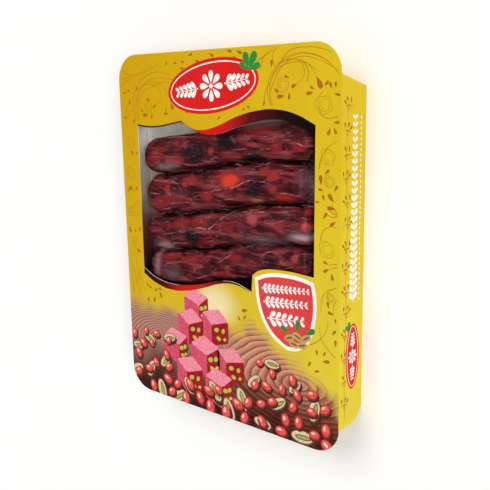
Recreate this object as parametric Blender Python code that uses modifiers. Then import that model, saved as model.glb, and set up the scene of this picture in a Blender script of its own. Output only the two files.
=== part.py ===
"""A shut retail pack of turkish delight sticks, lying on its back with the window side up.

The origin is under the middle of the pack, on the surface that it lies on. +X runs across the front
card, +Y up its height and +Z out of the window. The front card is wider than the sticks are long and
reaches past the body of the carton at the top and at the bottom.
"""

import math
import random

import bmesh
import bpy
from mathutils import Matrix, Vector

# Carton
CARD_WIDTH = 0.1806
CARD_HEIGHT = 0.240
CARD_CORNER = 0.017
DEPTH = 0.0255
BOARD = 0.0006
CORNER_STEPS = 8

# Side wall, as heights on the front card and depths behind it
WALL_FOOT = -0.1035
WALL_HEAD_FRONT = 0.1025
WALL_HEAD_BACK = 0.0963
FOOT_RADIUS = 0.012

# Window cut, as (x, y, corner) round its edge, anticlockwise from the lower left
WINDOW = (
    (-0.0734, -0.0264, True),
    (-0.0621, -0.0318, False),
    (-0.0434, -0.0342, False),
    (-0.0235, -0.0318, False),
    (0.0014, -0.0249, False),
    (0.0120, -0.0244, False),
    (0.0254, -0.0284, True),
    (0.0264, -0.0175, True),
    (0.0314, -0.0140, False),
    (0.0501, -0.0112, False),
    (0.0725, -0.0121, True),
    (0.0732, 0.0694, True),
    (0.0563, 0.0766, False),
    (0.0438, 0.0781, False),
    (0.0189, 0.0738, False),
    (-0.0085, 0.0681, False),
    (-0.0313, 0.0758, True),
    (-0.0584, 0.0719, False),
    (-0.0734, 0.0728, True),
)
WINDOW_STEPS = 5

# Sticks: they lie side by side, and each long edge runs from a left to a right height with one wave
GAP = 0.0003
STICK_LEFT = -0.0770
STICK_RIGHT = 0.0670
STICK_TOP = 0.0230
LEFT_END = 0.0120
RIGHT_END = 0.0045
EDGE_TURNS = 1.23
EDGES = (
    {"left": -0.0394, "right": -0.0195, "wave": 0.0020, "phase": 0.40},
    {"left": -0.0154, "right": 0.0044, "wave": 0.0018, "phase": 0.38},
    {"left": 0.0092, "right": 0.0296, "wave": 0.0012, "phase": 0.40},
    {"left": 0.0389, "right": 0.0549, "wave": 0.0014, "phase": 0.45},
    {"left": 0.0634, "right": 0.0805, "wave": 0.0000, "phase": 0.00},
)
STICK_NAMES = ("stick_4", "stick_3", "stick_2", "stick_1")
LEFT_SHIFTS = (0.0012, -0.0008, 0.0004, -0.0014)
RIGHT_SHIFTS = (-0.0010, -0.0004, -0.0042, 0.0000)
ROUND_POWER = 2.25
STICK_AROUND = 22
STICK_ALONG = 34
END_RINGS = 6
KNOB_COUNT = 34
KNOB_DEPTH = 0.10
PRESSED = 0.3

# Film: drawn over the sticks, down into the grooves and out to a flat rim
FILM = 0.0003
FILM_CLEARANCE = 0.0004
FILM_REACH = 0.0032
FILM_LEFT = -0.0855
FILM_RIGHT = 0.0755
FILM_LOW = -0.0480
FILM_HIGH = 0.0870
FILM_RIM = 0.0060
FILM_FALL = 0.0085
GROOVE_LEVEL = 0.0165
FILM_COLUMNS = 40
FILM_ROWS = 33

COLOURS = {
    "carton": ((0.66, 0.43, 0.02, 1.0), 0.42),
    "stick": ((0.11, 0.012, 0.014, 1.0), 0.30),
    "film": ((0.75, 0.66, 0.66, 1.0), 0.12),
}


def clear_scene():
    for thing in list(bpy.data.objects):
        bpy.data.objects.remove(thing, do_unlink=True)


def collection(name):
    made = bpy.data.collections.new(name)
    bpy.context.scene.collection.children.link(made)
    return made


def finish(name):
    colour, roughness = COLOURS[name]
    material = bpy.data.materials.new(name)
    material.use_nodes = True
    shader = material.node_tree.nodes["Principled BSDF"]
    shader.inputs["Base Color"].default_value = colour
    shader.inputs["Roughness"].default_value = roughness
    return material


def smooth(share):
    """A share from 0 to 1, eased at both ends."""
    share = min(1.0, max(0.0, share))
    return share * share * (3.0 - 2.0 * share)


# Flat outlines and what is cut from them


def card_outline():
    """The front card: a rectangle with rounded corners, anticlockwise."""
    points = []
    for sign_x, sign_y, start in ((1, -1, -90), (1, 1, 0), (-1, 1, 90), (-1, -1, 180)):
        centre_x = sign_x * (CARD_WIDTH / 2 - CARD_CORNER)
        centre_y = sign_y * (CARD_HEIGHT / 2 - CARD_CORNER)
        for step in range(CORNER_STEPS + 1):
            angle = math.radians(start + 90 * step / CORNER_STEPS)
            points.append(
                (centre_x + CARD_CORNER * math.cos(angle), centre_y + CARD_CORNER * math.sin(angle))
            )
    return points


def side_outline(inset):
    """The side wall, as (height up the card, height off the table), drawn in by inset."""
    foot, floor, top = WALL_FOOT + inset, inset, DEPTH - BOARD / 2 - inset / 2
    radius = FOOT_RADIUS - inset
    lean = (WALL_HEAD_FRONT - WALL_HEAD_BACK) / DEPTH
    points = []
    for step in range(CORNER_STEPS + 1):
        angle = math.radians(180 + 90 * step / CORNER_STEPS)
        points.append(
            (foot + radius * (1 + math.cos(angle)), floor + radius * (1 + math.sin(angle)))
        )
    points.append((WALL_HEAD_BACK - inset + lean * floor, floor))
    points.append((WALL_HEAD_BACK - inset + lean * top, top))
    points.append((foot, top))
    return points


def flat_solid(name, thickness, spline_of):
    """A flat outline as a closed mesh, its thickness centred on its own plane."""
    curve = bpy.data.curves.new(name, "CURVE")
    curve.dimensions = "2D"
    curve.fill_mode = "BOTH"
    curve.extrude = thickness / 2
    spline_of(curve)
    holder = bpy.data.objects.new(name, curve)
    bpy.context.scene.collection.objects.link(holder)
    graph = bpy.context.evaluated_depsgraph_get()
    mesh = bpy.data.meshes.new_from_object(holder.evaluated_get(graph))
    bpy.data.objects.remove(holder, do_unlink=True)
    shape = bmesh.new()
    shape.from_mesh(mesh)
    bmesh.ops.remove_doubles(shape, verts=shape.verts, dist=0.00001)
    bmesh.ops.recalc_face_normals(shape, faces=shape.faces)
    shape.to_mesh(mesh)
    shape.free()
    mesh.materials.clear()
    return bpy.data.objects.new(name, mesh)


def polygon(points):
    def add(curve):
        spline = curve.splines.new("POLY")
        spline.points.add(len(points) - 1)
        for point, (x, y) in zip(spline.points, points):
            point.co = (x, y, 0, 1)
        spline.use_cyclic_u = True

    return add


def window_spline(curve):
    """The window's cut edge: smooth through its points, with a corner where one is marked."""
    curve.resolution_u = WINDOW_STEPS
    spline = curve.splines.new("BEZIER")
    spline.bezier_points.add(len(WINDOW) - 1)
    for point, (x, y, corner) in zip(spline.bezier_points, WINDOW):
        point.co = (x, y, 0)
        kind = "VECTOR" if corner else "AUTO"
        point.handle_left_type = point.handle_right_type = kind
    spline.use_cyclic_u = True


def move(piece, matrix):
    piece.data.transform(matrix)
    return piece


def side_prism(name, inset):
    """The side wall's outline, run across the pack."""
    prism = flat_solid(name, CARD_WIDTH - 2 * inset, polygon(side_outline(inset)))
    turn = Matrix(((0, 0, 1, 0), (1, 0, 0, 0), (0, 1, 0, 0), (0, 0, 0, 1)))
    return move(prism, turn)


def boolean(piece, other, operation):
    change = piece.modifiers.new(other.name, "BOOLEAN")
    change.operation = operation
    change.solver = "EXACT"
    change.object = other


def make_carton(parts, cutters):
    """One folded board: the body, the wider front card over it, and the window cut in the card."""
    body = side_prism("carton", 0.0)
    card = flat_solid("front_card", BOARD, polygon(card_outline()))
    move(card, Matrix.Translation((0, 0, DEPTH - BOARD / 2)))
    cavity = side_prism("cavity", BOARD)
    window = flat_solid("window", 6 * BOARD, window_spline)
    move(window, Matrix.Translation((0, 0, DEPTH - BOARD / 2)))
    parts.objects.link(body)
    for cutter, operation in ((card, "UNION"), (cavity, "DIFFERENCE"), (window, "DIFFERENCE")):
        cutters.objects.link(cutter)
        cutter.hide_render = True
        cutter.display_type = "WIRE"
        boolean(body, cutter, operation)
    body.data.materials.append(finish("carton"))


# Sticks


def edge_height(edge, x):
    """How far up the card a stick's long edge lies at x."""
    share = (x - STICK_LEFT) / (STICK_RIGHT - STICK_LEFT)
    wave = edge["wave"] * math.sin(2 * math.pi * (EDGE_TURNS * share + edge["phase"]))
    return edge["left"] + (edge["right"] - edge["left"]) * share + wave


def stick_span(index):
    """The x at each end of a stick."""
    return STICK_LEFT + LEFT_SHIFTS[index], STICK_RIGHT + RIGHT_SHIFTS[index]


def stick_body(index, x):
    """The centre height and half width of a stick at x, away from its ends."""
    low, high = edge_height(EDGES[index], x), edge_height(EDGES[index + 1], x)
    return (low + high) / 2, (high - low) / 2 - GAP / 2


def end_share(index, x):
    """How much of its full section a stick has at x: round at the left, cut off blunt at the right."""
    left, right = stick_span(index)
    reach = min((x - left) / LEFT_END, (right - x) / RIGHT_END)
    if reach <= 0:
        return 0.0
    return math.sqrt(max(0.0, 1 - (1 - min(1.0, reach)) ** 2))


def ring_place(ring):
    """Where a ring lies along a stick, from 0 to 1: close together at both ends."""
    length = STICK_RIGHT - STICK_LEFT
    left_tip, right_tip = LEFT_END / length, RIGHT_END / length
    last = STICK_ALONG - END_RINGS
    if ring < END_RINGS:
        return left_tip * (1 - math.cos(math.pi / 2 * ring / END_RINGS))
    if ring > last:
        return 1 - right_tip * (1 - math.cos(math.pi / 2 * (STICK_ALONG - ring) / END_RINGS))
    return left_tip + (1 - left_tip - right_tip) * (ring - END_RINGS) / (last - END_RINGS)


def knobs(index):
    """Where the nuts inside push a stick out: (x, angle round it, size along, size round)."""
    draw = random.Random(40 + index)
    left, right = stick_span(index)
    return [
        (
            draw.uniform(left, right),
            draw.uniform(0, 2 * math.pi),
            draw.uniform(0.005, 0.010),
            draw.uniform(0.35, 0.70),
        )
        for _ in range(KNOB_COUNT)
    ]


def fullness(places, x, angle):
    """The share of its full radius that a stick reaches at this spot: 1 on a nut, less beside it."""
    most = 0.0
    for knob_x, knob_angle, along, around in places:
        turn = (angle - knob_angle + math.pi) % (2 * math.pi) - math.pi
        most = max(most, math.exp(-((x - knob_x) / along) ** 2 - (turn / around) ** 2))
    return 1 - KNOB_DEPTH * (1 - most)


def make_stick(parts, index, material):
    """A long rounded stick with a knobbly skin on the back board, pressed against its neighbours."""
    name = STICK_NAMES[index]
    shape = bmesh.new()
    bmesh.ops.create_uvsphere(
        shape, u_segments=STICK_AROUND, v_segments=STICK_ALONG, radius=1.0
    )
    left, right = stick_span(index)
    places = knobs(index)
    floor = BOARD + GAP
    half_height = (STICK_TOP - floor) / 2
    for vert in shape.verts:
        polar = math.acos(max(-1.0, min(1.0, -vert.co.z)))
        ring = round(polar / math.pi * STICK_ALONG)
        angle = math.atan2(vert.co.y, vert.co.x)
        x = left + (right - left) * ring_place(ring)
        centre, half_width = stick_body(index, x)
        share, full = end_share(index, x), fullness(places, x, angle)
        side, rise = math.cos(angle), math.sin(angle)
        power = 2 / ROUND_POWER
        across = share * (1 - PRESSED * (1 - full)) * math.copysign(abs(side) ** power, side)
        up = share * full * math.copysign(abs(rise) ** power, rise)
        vert.co = Vector((x, centre + half_width * across, floor + half_height * (1 + up)))
    mesh = bpy.data.meshes.new(name)
    shape.to_mesh(mesh)
    shape.free()
    mesh.shade_smooth()
    mesh.materials.append(material)
    parts.objects.link(bpy.data.objects.new(name, mesh))


# Film


def stick_cover(x, y):
    """The height of the full, unpitted outline of the sticks at (x, y), or 0 beside them."""
    floor = BOARD + GAP
    half_height = (STICK_TOP - floor) / 2
    most = 0.0
    for index in range(len(STICK_NAMES)):
        share = end_share(index, x)
        if not share:
            continue
        centre, half_width = stick_body(index, x)
        aside = abs(y - centre) / (half_width * share)
        if aside < 1:
            rise = (1 - aside**ROUND_POWER) ** (1 / ROUND_POWER)
            most = max(most, floor + half_height * (1 + share * rise))
    return most


def film_height(x, y):
    """The film's underside: over the sticks, across the grooves and down to the rim."""
    inside = min(
        x - STICK_LEFT,
        STICK_RIGHT - x,
        y - edge_height(EDGES[0], x),
        edge_height(EDGES[-1], x) - y,
    )
    level = FILM_RIM + (GROOVE_LEVEL - FILM_RIM) * smooth(1 + inside / FILM_FALL)
    steps = (-FILM_REACH, 0.0, FILM_REACH)
    cover = max(stick_cover(x + across, y + up) for across in steps for up in steps)
    return max(level, cover + FILM_CLEARANCE)


def make_film(parts):
    shape = bmesh.new()
    bmesh.ops.create_grid(shape, x_segments=FILM_COLUMNS, y_segments=FILM_ROWS, size=1.0)
    for vert in shape.verts:
        x = FILM_LEFT + (FILM_RIGHT - FILM_LEFT) * (vert.co.x + 1) / 2
        y = FILM_LOW + (FILM_HIGH - FILM_LOW) * (vert.co.y + 1) / 2
        vert.co = (x, y, film_height(x, y))
    mesh = bpy.data.meshes.new("film")
    shape.to_mesh(mesh)
    shape.free()
    mesh.shade_smooth()
    mesh.materials.append(finish("film"))
    film = bpy.data.objects.new("film", mesh)
    wall = film.modifiers.new("wall", "SOLIDIFY")
    wall.thickness = FILM
    wall.offset = 1.0
    parts.objects.link(film)


def main():
    clear_scene()
    parts = collection("turkish_delight_pack")
    cutters = collection("cutters")
    make_carton(parts, cutters)
    stick_material = finish("stick")
    for index in range(len(STICK_NAMES)):
        make_stick(parts, index, stick_material)
    make_film(parts)


main()
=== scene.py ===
"""Dresses the shut pack of turkish delight sticks: carton, print, sweets, film, light and camera.

Lengths are in metres. Print is laid out in millimetres on its own panel, from the panel's lower left
corner, and is brought to its place by one matrix for each panel.
"""

import math
import random

import bmesh
import bpy
import numpy as np
from mathutils import Matrix, Vector, noise


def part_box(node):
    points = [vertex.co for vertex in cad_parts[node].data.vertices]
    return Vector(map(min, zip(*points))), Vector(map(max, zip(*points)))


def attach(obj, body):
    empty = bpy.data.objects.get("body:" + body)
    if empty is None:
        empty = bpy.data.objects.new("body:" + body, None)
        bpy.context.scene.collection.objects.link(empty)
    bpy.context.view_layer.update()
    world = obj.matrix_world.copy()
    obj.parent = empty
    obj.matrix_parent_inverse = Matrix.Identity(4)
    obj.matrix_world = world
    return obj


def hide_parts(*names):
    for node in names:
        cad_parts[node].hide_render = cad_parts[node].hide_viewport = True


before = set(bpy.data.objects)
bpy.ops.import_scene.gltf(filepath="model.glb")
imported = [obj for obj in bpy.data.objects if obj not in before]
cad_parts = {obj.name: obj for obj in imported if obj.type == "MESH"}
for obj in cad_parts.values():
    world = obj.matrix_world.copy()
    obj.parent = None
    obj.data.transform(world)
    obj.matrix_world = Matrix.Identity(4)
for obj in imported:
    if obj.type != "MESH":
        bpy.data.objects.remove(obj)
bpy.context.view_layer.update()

bl_info = {
    "name": "Turkish Delight Pack",
    "version": (1, 0, 0),
    "blender": (4, 5, 0),
    "location": "3D Viewport > Sidebar > Sweets",
    "description": "Builds a windowed carton of turkish delight sticks round its packed frame",
    "category": "Object",
}

MM = 0.001
LOW, HIGH = (Vector(corner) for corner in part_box("carton"))
CARD_WIDTH_MM = (HIGH.x - LOW.x) / MM
CARD_HEIGHT_MM = (HIGH.y - LOW.y) / MM
DEPTH_MM = (HIGH.z - LOW.z) / MM


def panel_matrix(corner, across, up):
    """The matrix that takes a panel's millimetres, across it, up it and out of it, to its place."""
    across, up = Vector(across), Vector(up)
    axes = Matrix((across, up, across.cross(up))).transposed() * MM
    return Matrix.Translation(corner) @ axes.to_4x4()


# The foot wall stands upright, and the head wall leans out from the back to the front
WALL_FOOT = -0.1035
WALL_HEAD = 0.0963
HEAD_LEAN = Vector((0, 0.0062, HIGH.z - LOW.z)).normalized()

FRONT = panel_matrix((LOW.x, LOW.y, HIGH.z), (1, 0, 0), (0, 1, 0))
RIGHT_SIDE = panel_matrix((HIGH.x, LOW.y, 0), (0, 1, 0), (0, 0, 1))
LEFT_SIDE = panel_matrix((LOW.x, HIGH.y, 0), (0, -1, 0), (0, 0, 1))
FOOT_END = panel_matrix((LOW.x, WALL_FOOT, 0), (1, 0, 0), (0, 0, 1))
HEAD_END = panel_matrix((HIGH.x, WALL_HEAD, 0), (-1, 0, 0), HEAD_LEAN)

# Front card, in millimetres from its lower left corner
CARD_CORNER = 17.0
WINDOW = (
    (16.9, 93.6, True), (28.2, 88.2), (46.9, 85.8), (66.8, 88.2), (91.7, 95.1), (102.3, 95.6),
    (115.7, 91.6, True), (116.7, 102.5, True), (121.7, 106.0), (140.4, 108.8), (162.8, 107.9, True),
    (163.5, 189.4, True), (146.6, 196.6), (134.1, 198.1), (109.2, 193.8), (81.8, 188.1),
    (59.0, 195.8, True), (31.9, 191.9), (16.9, 192.8, True),
)

# Sticks, as the solids have them
GAP = 0.0003
STICK_LEFT = -0.0770
STICK_RIGHT = 0.0670
STICK_TOP = 0.0230
LEFT_END = 0.0120
RIGHT_END = 0.0045
EDGE_TURNS = 1.23
EDGES = (
    {"left": -0.0394, "right": -0.0195, "wave": 0.0020, "phase": 0.40},
    {"left": -0.0154, "right": 0.0044, "wave": 0.0018, "phase": 0.38},
    {"left": 0.0092, "right": 0.0296, "wave": 0.0012, "phase": 0.40},
    {"left": 0.0389, "right": 0.0549, "wave": 0.0014, "phase": 0.45},
    {"left": 0.0634, "right": 0.0805, "wave": 0.0000, "phase": 0.00},
)
STICK_NAMES = ("stick_4", "stick_3", "stick_2", "stick_1")
LEFT_SHIFTS = (0.0012, -0.0008, 0.0004, -0.0014)
RIGHT_SHIFTS = (-0.0010, -0.0004, -0.0042, 0.0000)
ROUND_POWER = 2.25
KNOB_COUNT = 34
KNOB_SEED = 40
KNOB_LENGTHS = (0.005, 0.010)
KNOB_SPREADS = (0.35, 0.70)
PRESSED = 0.3


def linear(code):
    """An sRGB hex colour as linear red, green, blue and alpha."""
    parts = [int(code[i : i + 2], 16) / 255 for i in (1, 3, 5)]
    return [p / 12.92 if p <= 0.04045 else ((p + 0.055) / 1.055) ** 2.4 for p in parts] + [1.0]


def length_property(name, description, default):
    """A length in metres that a user can change."""
    return bpy.props.FloatProperty(
        name=name, description=description, default=default, min=0.0, precision=5, unit="LENGTH"
    )


def colour_property(name, description, code):
    """A colour that a user can change, from its sRGB hex code."""
    return bpy.props.FloatVectorProperty(
        name=name, description=description, default=linear(code), size=4, min=0.0, max=1.0, subtype="COLOR"
    )


# What a user would change


class CartonSettings(bpy.types.PropertyGroup):
    board: length_property("Board", "Thickness of the folding board", 0.0006)
    fold: length_property("Fold", "How far the board's sharp folds and cuts are eased", 0.00022)
    ground_left: colour_property("Ground, left", "Yellow print on the left of the card", "#CE9F06")
    ground_right: colour_property("Ground, right", "Yellow print on the right", "#DCBB1E")
    inside: colour_property("Inside", "Coated white face inside the carton", "#FBF9F2")


class PrintSettings(bpy.types.PropertyGroup):
    ink: length_property("Ink", "How far each layer of print stands proud", 0.000012)
    scroll: colour_property("Scroll ink", "Fine lines of the scrollwork", "#B9861A")
    petal: colour_property("Petal ink", "Petals of the scrollwork", "#AE681C")
    red: colour_property("Red ink", "Badges", "#D8201F")
    label: colour_property("Label ink", "Paler red of the shield label", "#DB4343")
    white: colour_property("White ink", "Ornament on the badge, label and side", "#F2EFEA")


class SweetSettings(bpy.types.PropertyGroup):
    gel: colour_property("Gel", "The fruit gel between its nuts", "#53151A")
    # Partly the starch dust on the skin and partly painted sheen where the skin catches the light
    starch_and_sheen: colour_property("Dust", "Paler streaks where the skin is drawn thin", "#A8454B")
    knob_depth: bpy.props.FloatProperty(
        name="Knob depth", description="How far the skin sinks between the nuts, as a share of the radius",
        default=0.10, min=0.0, max=0.3, subtype="FACTOR",
    )
    wrinkle: length_property("Wrinkle", "Depth of the wrinkles along a stick", 0.0009)


class FilmSettings(bpy.types.PropertyGroup):
    thickness: length_property("Film", "Thickness that the film is drawn with", 0.00008)
    clearance: length_property("Clearance", "Space between the film and a stick", 0.00022)
    crease: length_property("Crease", "Height of the film's larger creases", 0.00035)


class StageSettings(bpy.types.PropertyGroup):
    floor: length_property("Floor", "Width of the plain floor", 6.0)
    floor_colour: colour_property("Floor colour", "Plain pale floor", "#FAFAF9")
    key: bpy.props.FloatProperty(name="Key", description="Soft light from the right", default=1.67)
    fill: bpy.props.FloatProperty(name="Fill", description="Light from behind and above", default=1.10)
    sky: bpy.props.FloatProperty(name="Sky", description="Even light from all round", default=0.42)
    lens: bpy.props.FloatProperty(name="Lens", description="Focal length on a 36 mm frame", default=52.1)


GROUPS = {
    "delight_carton": CartonSettings,
    "delight_print": PrintSettings,
    "delight_sweets": SweetSettings,
    "delight_film": FilmSettings,
    "delight_stage": StageSettings,
}


# Materials

# The card's two directions, plain stops for masks, and the two ways in which colours are mixed
ACROSS, UP = 0, 1
BLACK, WHITE = "#000000", "#FFFFFF"
BLENDED = {"data_type": "RGBA"}
MULTIPLIED = {"data_type": "RGBA", "blend_type": "MULTIPLY"}


def feed(node, inputs):
    """Links or sets the inputs of a node."""
    for name, value in inputs.items():
        if isinstance(value, bpy.types.NodeSocket):
            node.id_data.links.new(value, node.inputs[name])
        else:
            node.inputs[name].default_value = value


def add(tree, kind, inputs, output=0, stops=(), **settings):
    """Adds a node with its settings, its inputs and any colour stops, and gives one of its outputs."""
    node = tree.nodes.new("ShaderNode" + kind)
    for name, value in settings.items():
        setattr(node, name, value)
    feed(node, inputs)
    for index, (place, colour) in enumerate(stops):
        elements = node.color_ramp.elements
        element = elements[index] if index < len(elements) else elements.new(1.0)
        element.position = place
        element.color = linear(colour) if isinstance(colour, str) else colour
    return node.outputs[output]


def new_material(name, kind="BsdfPrincipled"):
    """A material with its node tree, its Object coordinates and its last shader, already put out."""
    material = bpy.data.materials.new(name)
    material.use_nodes = True
    tree = material.node_tree
    tree.nodes.clear()
    shader = tree.nodes.new("ShaderNode" + kind)
    tree.links.new(shader.outputs[0], tree.nodes.new("ShaderNodeOutputMaterial").inputs["Surface"])
    return material, tree, add(tree, "TexCoord", {}, "Object"), shader


def per_mm(size_mm):
    """The scale of a texture whose cells are this many millimetres wide."""
    return 1.0 / (size_mm * MM)


def tinted(tree, where, colour, size_mm, amount):
    """A colour with soft lighter and darker patches of this size."""
    patches = add(tree, "TexNoise", {"Vector": where, "Scale": per_mm(size_mm), "Detail": 3.0})
    light = [min(1.0, c * (1 + amount)) for c in colour[:3]] + [1.0]
    dark = [c * (1 - amount) for c in colour[:3]] + [1.0]
    return add(tree, "ValToRGB", {"Fac": patches}, stops=((0.3, dark), (0.7, light)))


def printed_board(name, paint, *details):
    """Offset print under varnish on coated board: an even satin over the board's faint tooth."""
    material, tree, where, shader = new_material(name)
    tooth = add(tree, "TexNoise", {"Vector": where, "Scale": per_mm(0.9), "Detail": 4.0})
    smear = add(tree, "TexNoise", {"Vector": where, "Scale": per_mm(14), "Detail": 2.0})
    satin = {"Value": smear, "From Min": 0.3, "From Max": 0.7, "To Min": 0.38, "To Max": 0.48}
    feed(
        shader,
        {
            "Base Color": paint(tree, where, *details),
            "Roughness": add(tree, "MapRange", satin),
            "Specular IOR Level": 0.06,
            "Normal": add(tree, "Bump", {"Height": tooth, "Strength": 0.12, "Distance": 0.00006}),
        },
    )
    return material


def ink_material(name, colour, size_mm=9.0, amount=0.05):
    """Offset ink under varnish, with the slight unevenness of a printed solid."""
    return printed_board(name, tinted, colour, size_mm, amount)


def card_share(tree, where, axis):
    """How far a place is across the card from its left, or up it from its foot, from 0 to 1."""
    place = add(tree, "SeparateXYZ", {"Vector": where}, axis)
    return add(tree, "MapRange", {"Value": place, "From Min": LOW[axis], "From Max": HIGH[axis]})


def ground_colour(tree, where):
    """The yellow of the carton: lighter towards the right and the foot, and faintly clouded."""
    settings = bpy.context.scene.delight_carton
    sides = (0.0, settings.ground_left), (1.0, settings.ground_right)
    ground = add(tree, "ValToRGB", {"Fac": card_share(tree, where, ACROSS)}, stops=sides)
    heights = (0.30, (1.03, 1.17, 3.0, 1)), (0.58, (1.01, 1.08, 1.5, 1)), (0.80, WHITE)
    lift = add(tree, "ValToRGB", {"Fac": card_share(tree, where, UP)}, stops=heights)
    patches = add(tree, "TexNoise", {"Vector": where, "Scale": per_mm(16), "Detail": 4.0})
    tone = add(tree, "ValToRGB", {"Fac": patches}, stops=((0.3, (0.95, 0.94, 0.88, 1)), (0.7, WHITE)))
    lifted = add(tree, "Mix", {"Factor": 1.0, "A": ground, "B": lift}, "Result", **MULTIPLIED)
    return add(tree, "Mix", {"Factor": 1.0, "A": lifted, "B": tone}, "Result", **MULTIPLIED)


# Painted shade and painted red light thrown back from the gel, on the inside of the board, by height up the
# card in millimetres
INSIDE_PAINTED_SHADE = (
    (98, "#50262A"), (108, "#702A32"), (118, "#A05359"), (127, "#93706A"), (137, "#BBA8A1"),
    (145, "#EADAD4"), (158, "#CFC4BE"), (168, "#F4F0EC"), (176, "#FFFFFF"),
)


def inside_material(settings):
    """The inside of the board: matt and white, with painted shade that darkens it lower down and under the
    gel.
    """
    material, tree, where, shader = new_material("white_coated_board")
    white = tinted(tree, where, settings.inside, 3.0, 0.04)
    tones = [(height / CARD_HEIGHT_MM, code) for height, code in INSIDE_PAINTED_SHADE]
    tone = add(tree, "ValToRGB", {"Fac": card_share(tree, where, UP)}, stops=tones)
    toned = add(tree, "Mix", {"Factor": 1.0, "A": white, "B": tone}, "Result", **MULTIPLIED)

    # Painted shade: the back board is darkened between the sticks' ends, up to the edge of the uppermost
    # stick, where the sweets shade it
    rise = (EDGES[-1]["right"] - EDGES[-1]["left"]) / (STICK_RIGHT - STICK_LEFT)
    top_edge = EDGES[-1]["left"] - rise * STICK_LEFT
    painted_shade_mask = 1.0
    for way, start, end in (
        ((1, 0, 0), STICK_LEFT - 0.002, STICK_LEFT + 0.003),
        ((1, 0, 0), STICK_RIGHT + 0.003, STICK_RIGHT - 0.001),
        ((-rise, 1, 0), top_edge, top_edge - 0.004),
        ((0, 0, 1), 0.0012, 0.0009),
    ):
        place = add(tree, "VectorMath", {0: where, 1: way}, "Value", operation="DOT_PRODUCT")
        part = add(tree, "MapRange", {"Value": place, "From Min": start, "From Max": end})
        painted_shade_mask = add(tree, "Math", {0: painted_shade_mask, 1: part}, operation="MULTIPLY")
    painted_shade_mix = {"Factor": painted_shade_mask, "A": toned, "B": linear("#2E1013")}

    fibres = add(tree, "TexNoise", {"Vector": where, "Scale": per_mm(0.6), "Detail": 4.0})
    feed(
        shader,
        {
            "Base Color": add(tree, "Mix", painted_shade_mix, "Result", **BLENDED),
            "Roughness": 0.62,
            "Normal": add(tree, "Bump", {"Height": fibres, "Strength": 0.2, "Distance": 0.00008}),
        },
    )
    return material


# Flat shapes of ink


def through(knots, closed=True, steps=5):
    """Points of a smooth line through the knots. A knot with True as its third value is a corner."""
    curve = bpy.data.curves.new("outline", "CURVE")
    curve.dimensions = "2D"
    curve.fill_mode = "NONE"
    curve.resolution_u = steps
    spline = curve.splines.new("BEZIER")
    spline.bezier_points.add(len(knots) - 1)
    for point, knot in zip(spline.bezier_points, knots):
        point.co = (knot[0], knot[1], 0)
        point.handle_left_type = point.handle_right_type = "VECTOR" if len(knot) > 2 else "AUTO"
    spline.use_cyclic_u = closed
    holder = bpy.data.objects.new("outline", curve)
    points = [(v.co.x, v.co.y) for v in holder.to_mesh().vertices]
    holder.to_mesh_clear()
    bpy.data.objects.remove(holder)
    bpy.data.curves.remove(curve)
    return points


def placed(x, y, along, aside, turn):
    """The point so far along a direction in degrees from (x, y), and so far to the left of it."""
    lean = math.radians(turn)
    return (
        x + along * math.cos(lean) - aside * math.sin(lean),
        y + along * math.sin(lean) + aside * math.cos(lean),
    )


def ellipse(x, y, wide, high, turn=0.0, steps=20):
    """An ellipse by its centre, its two radii and its turn in degrees."""
    angles = [2 * math.pi * step / steps for step in range(steps)]
    return [placed(x, y, wide * math.cos(angle), high * math.sin(angle), turn) for angle in angles]


def petal(x, y, length, turn, fat=0.32, steps=12):
    """A teardrop that starts as a point at (x, y) and swells towards its round end."""
    points = []
    for step in range(steps):
        angle = 2 * math.pi * step / steps
        aside = fat * length * math.sin(angle) * math.sin(angle / 2) ** 1.5
        points.append(placed(x, y, length * (1 - math.cos(angle)) / 2, aside, turn))
    return points


def direction(before, after):
    """The unit vector from one point to another."""
    return Vector((after[0] - before[0], after[1] - before[1])).normalized()


def stroke(points, width, end=0.3):
    """The outline of a line of ink that thins from its full width to a share of it at its end."""
    left, right = [], []
    last = len(points) - 1
    for index, (x, y) in enumerate(points):
        along = direction(points[max(0, index - 1)], points[min(last, index + 1)])
        half = width / 2 * (1 + (end - 1) * index / last)
        left.append((x - along.y * half, y + along.x * half))
        right.append((x + along.y * half, y - along.x * half))
    return left + right[::-1]


def drawn_in(points, distance):
    """A convex outline, moved inwards by a distance."""
    made = []
    for index, (x, y) in enumerate(points):
        along = direction(points[index - 1], points[(index + 1) % len(points)])
        made.append((x - along.y * distance, y + along.x * distance))
    return made


def lay(shape, points, level, slot=0):
    """Lays an outline on the panel as a thin closed plate of ink, its top at this layer."""
    ink = bpy.context.scene.delight_print.ink / MM
    face = shape.faces.new([shape.verts.new((x, y, 0.0)) for x, y in points])
    face.material_index = slot
    made = bmesh.ops.extrude_face_region(shape, geom=[face], use_keep_orig=True)["geom"]
    top = [part for part in made if isinstance(part, bmesh.types.BMVert)]
    bmesh.ops.translate(shape, verts=top, vec=(0, 0, level * ink))


def make_piece(name, shape, materials, slot, *nodes, smooth=False):
    """Turns a bmesh into a finished piece at the origin that rides on the pack."""
    mesh = bpy.data.meshes.new(name)
    shape.to_mesh(mesh)
    shape.free()
    for material in materials:
        mesh.materials.append(material)
    if smooth:
        mesh.shade_smooth()
    piece = bpy.data.objects.new(name, mesh)
    bpy.context.scene.collection.objects.link(piece)
    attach(piece, "root")
    if nodes:
        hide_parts(*nodes)
    return piece


def print_piece(name, shape, place, *materials):
    """Brings flat plates of ink from their panel's millimetres to their place on the carton."""
    bmesh.ops.recalc_face_normals(shape, faces=shape.faces)
    bmesh.ops.transform(shape, matrix=place, verts=shape.verts)
    return make_piece(name, shape, materials, "carton")


# Carton


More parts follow.
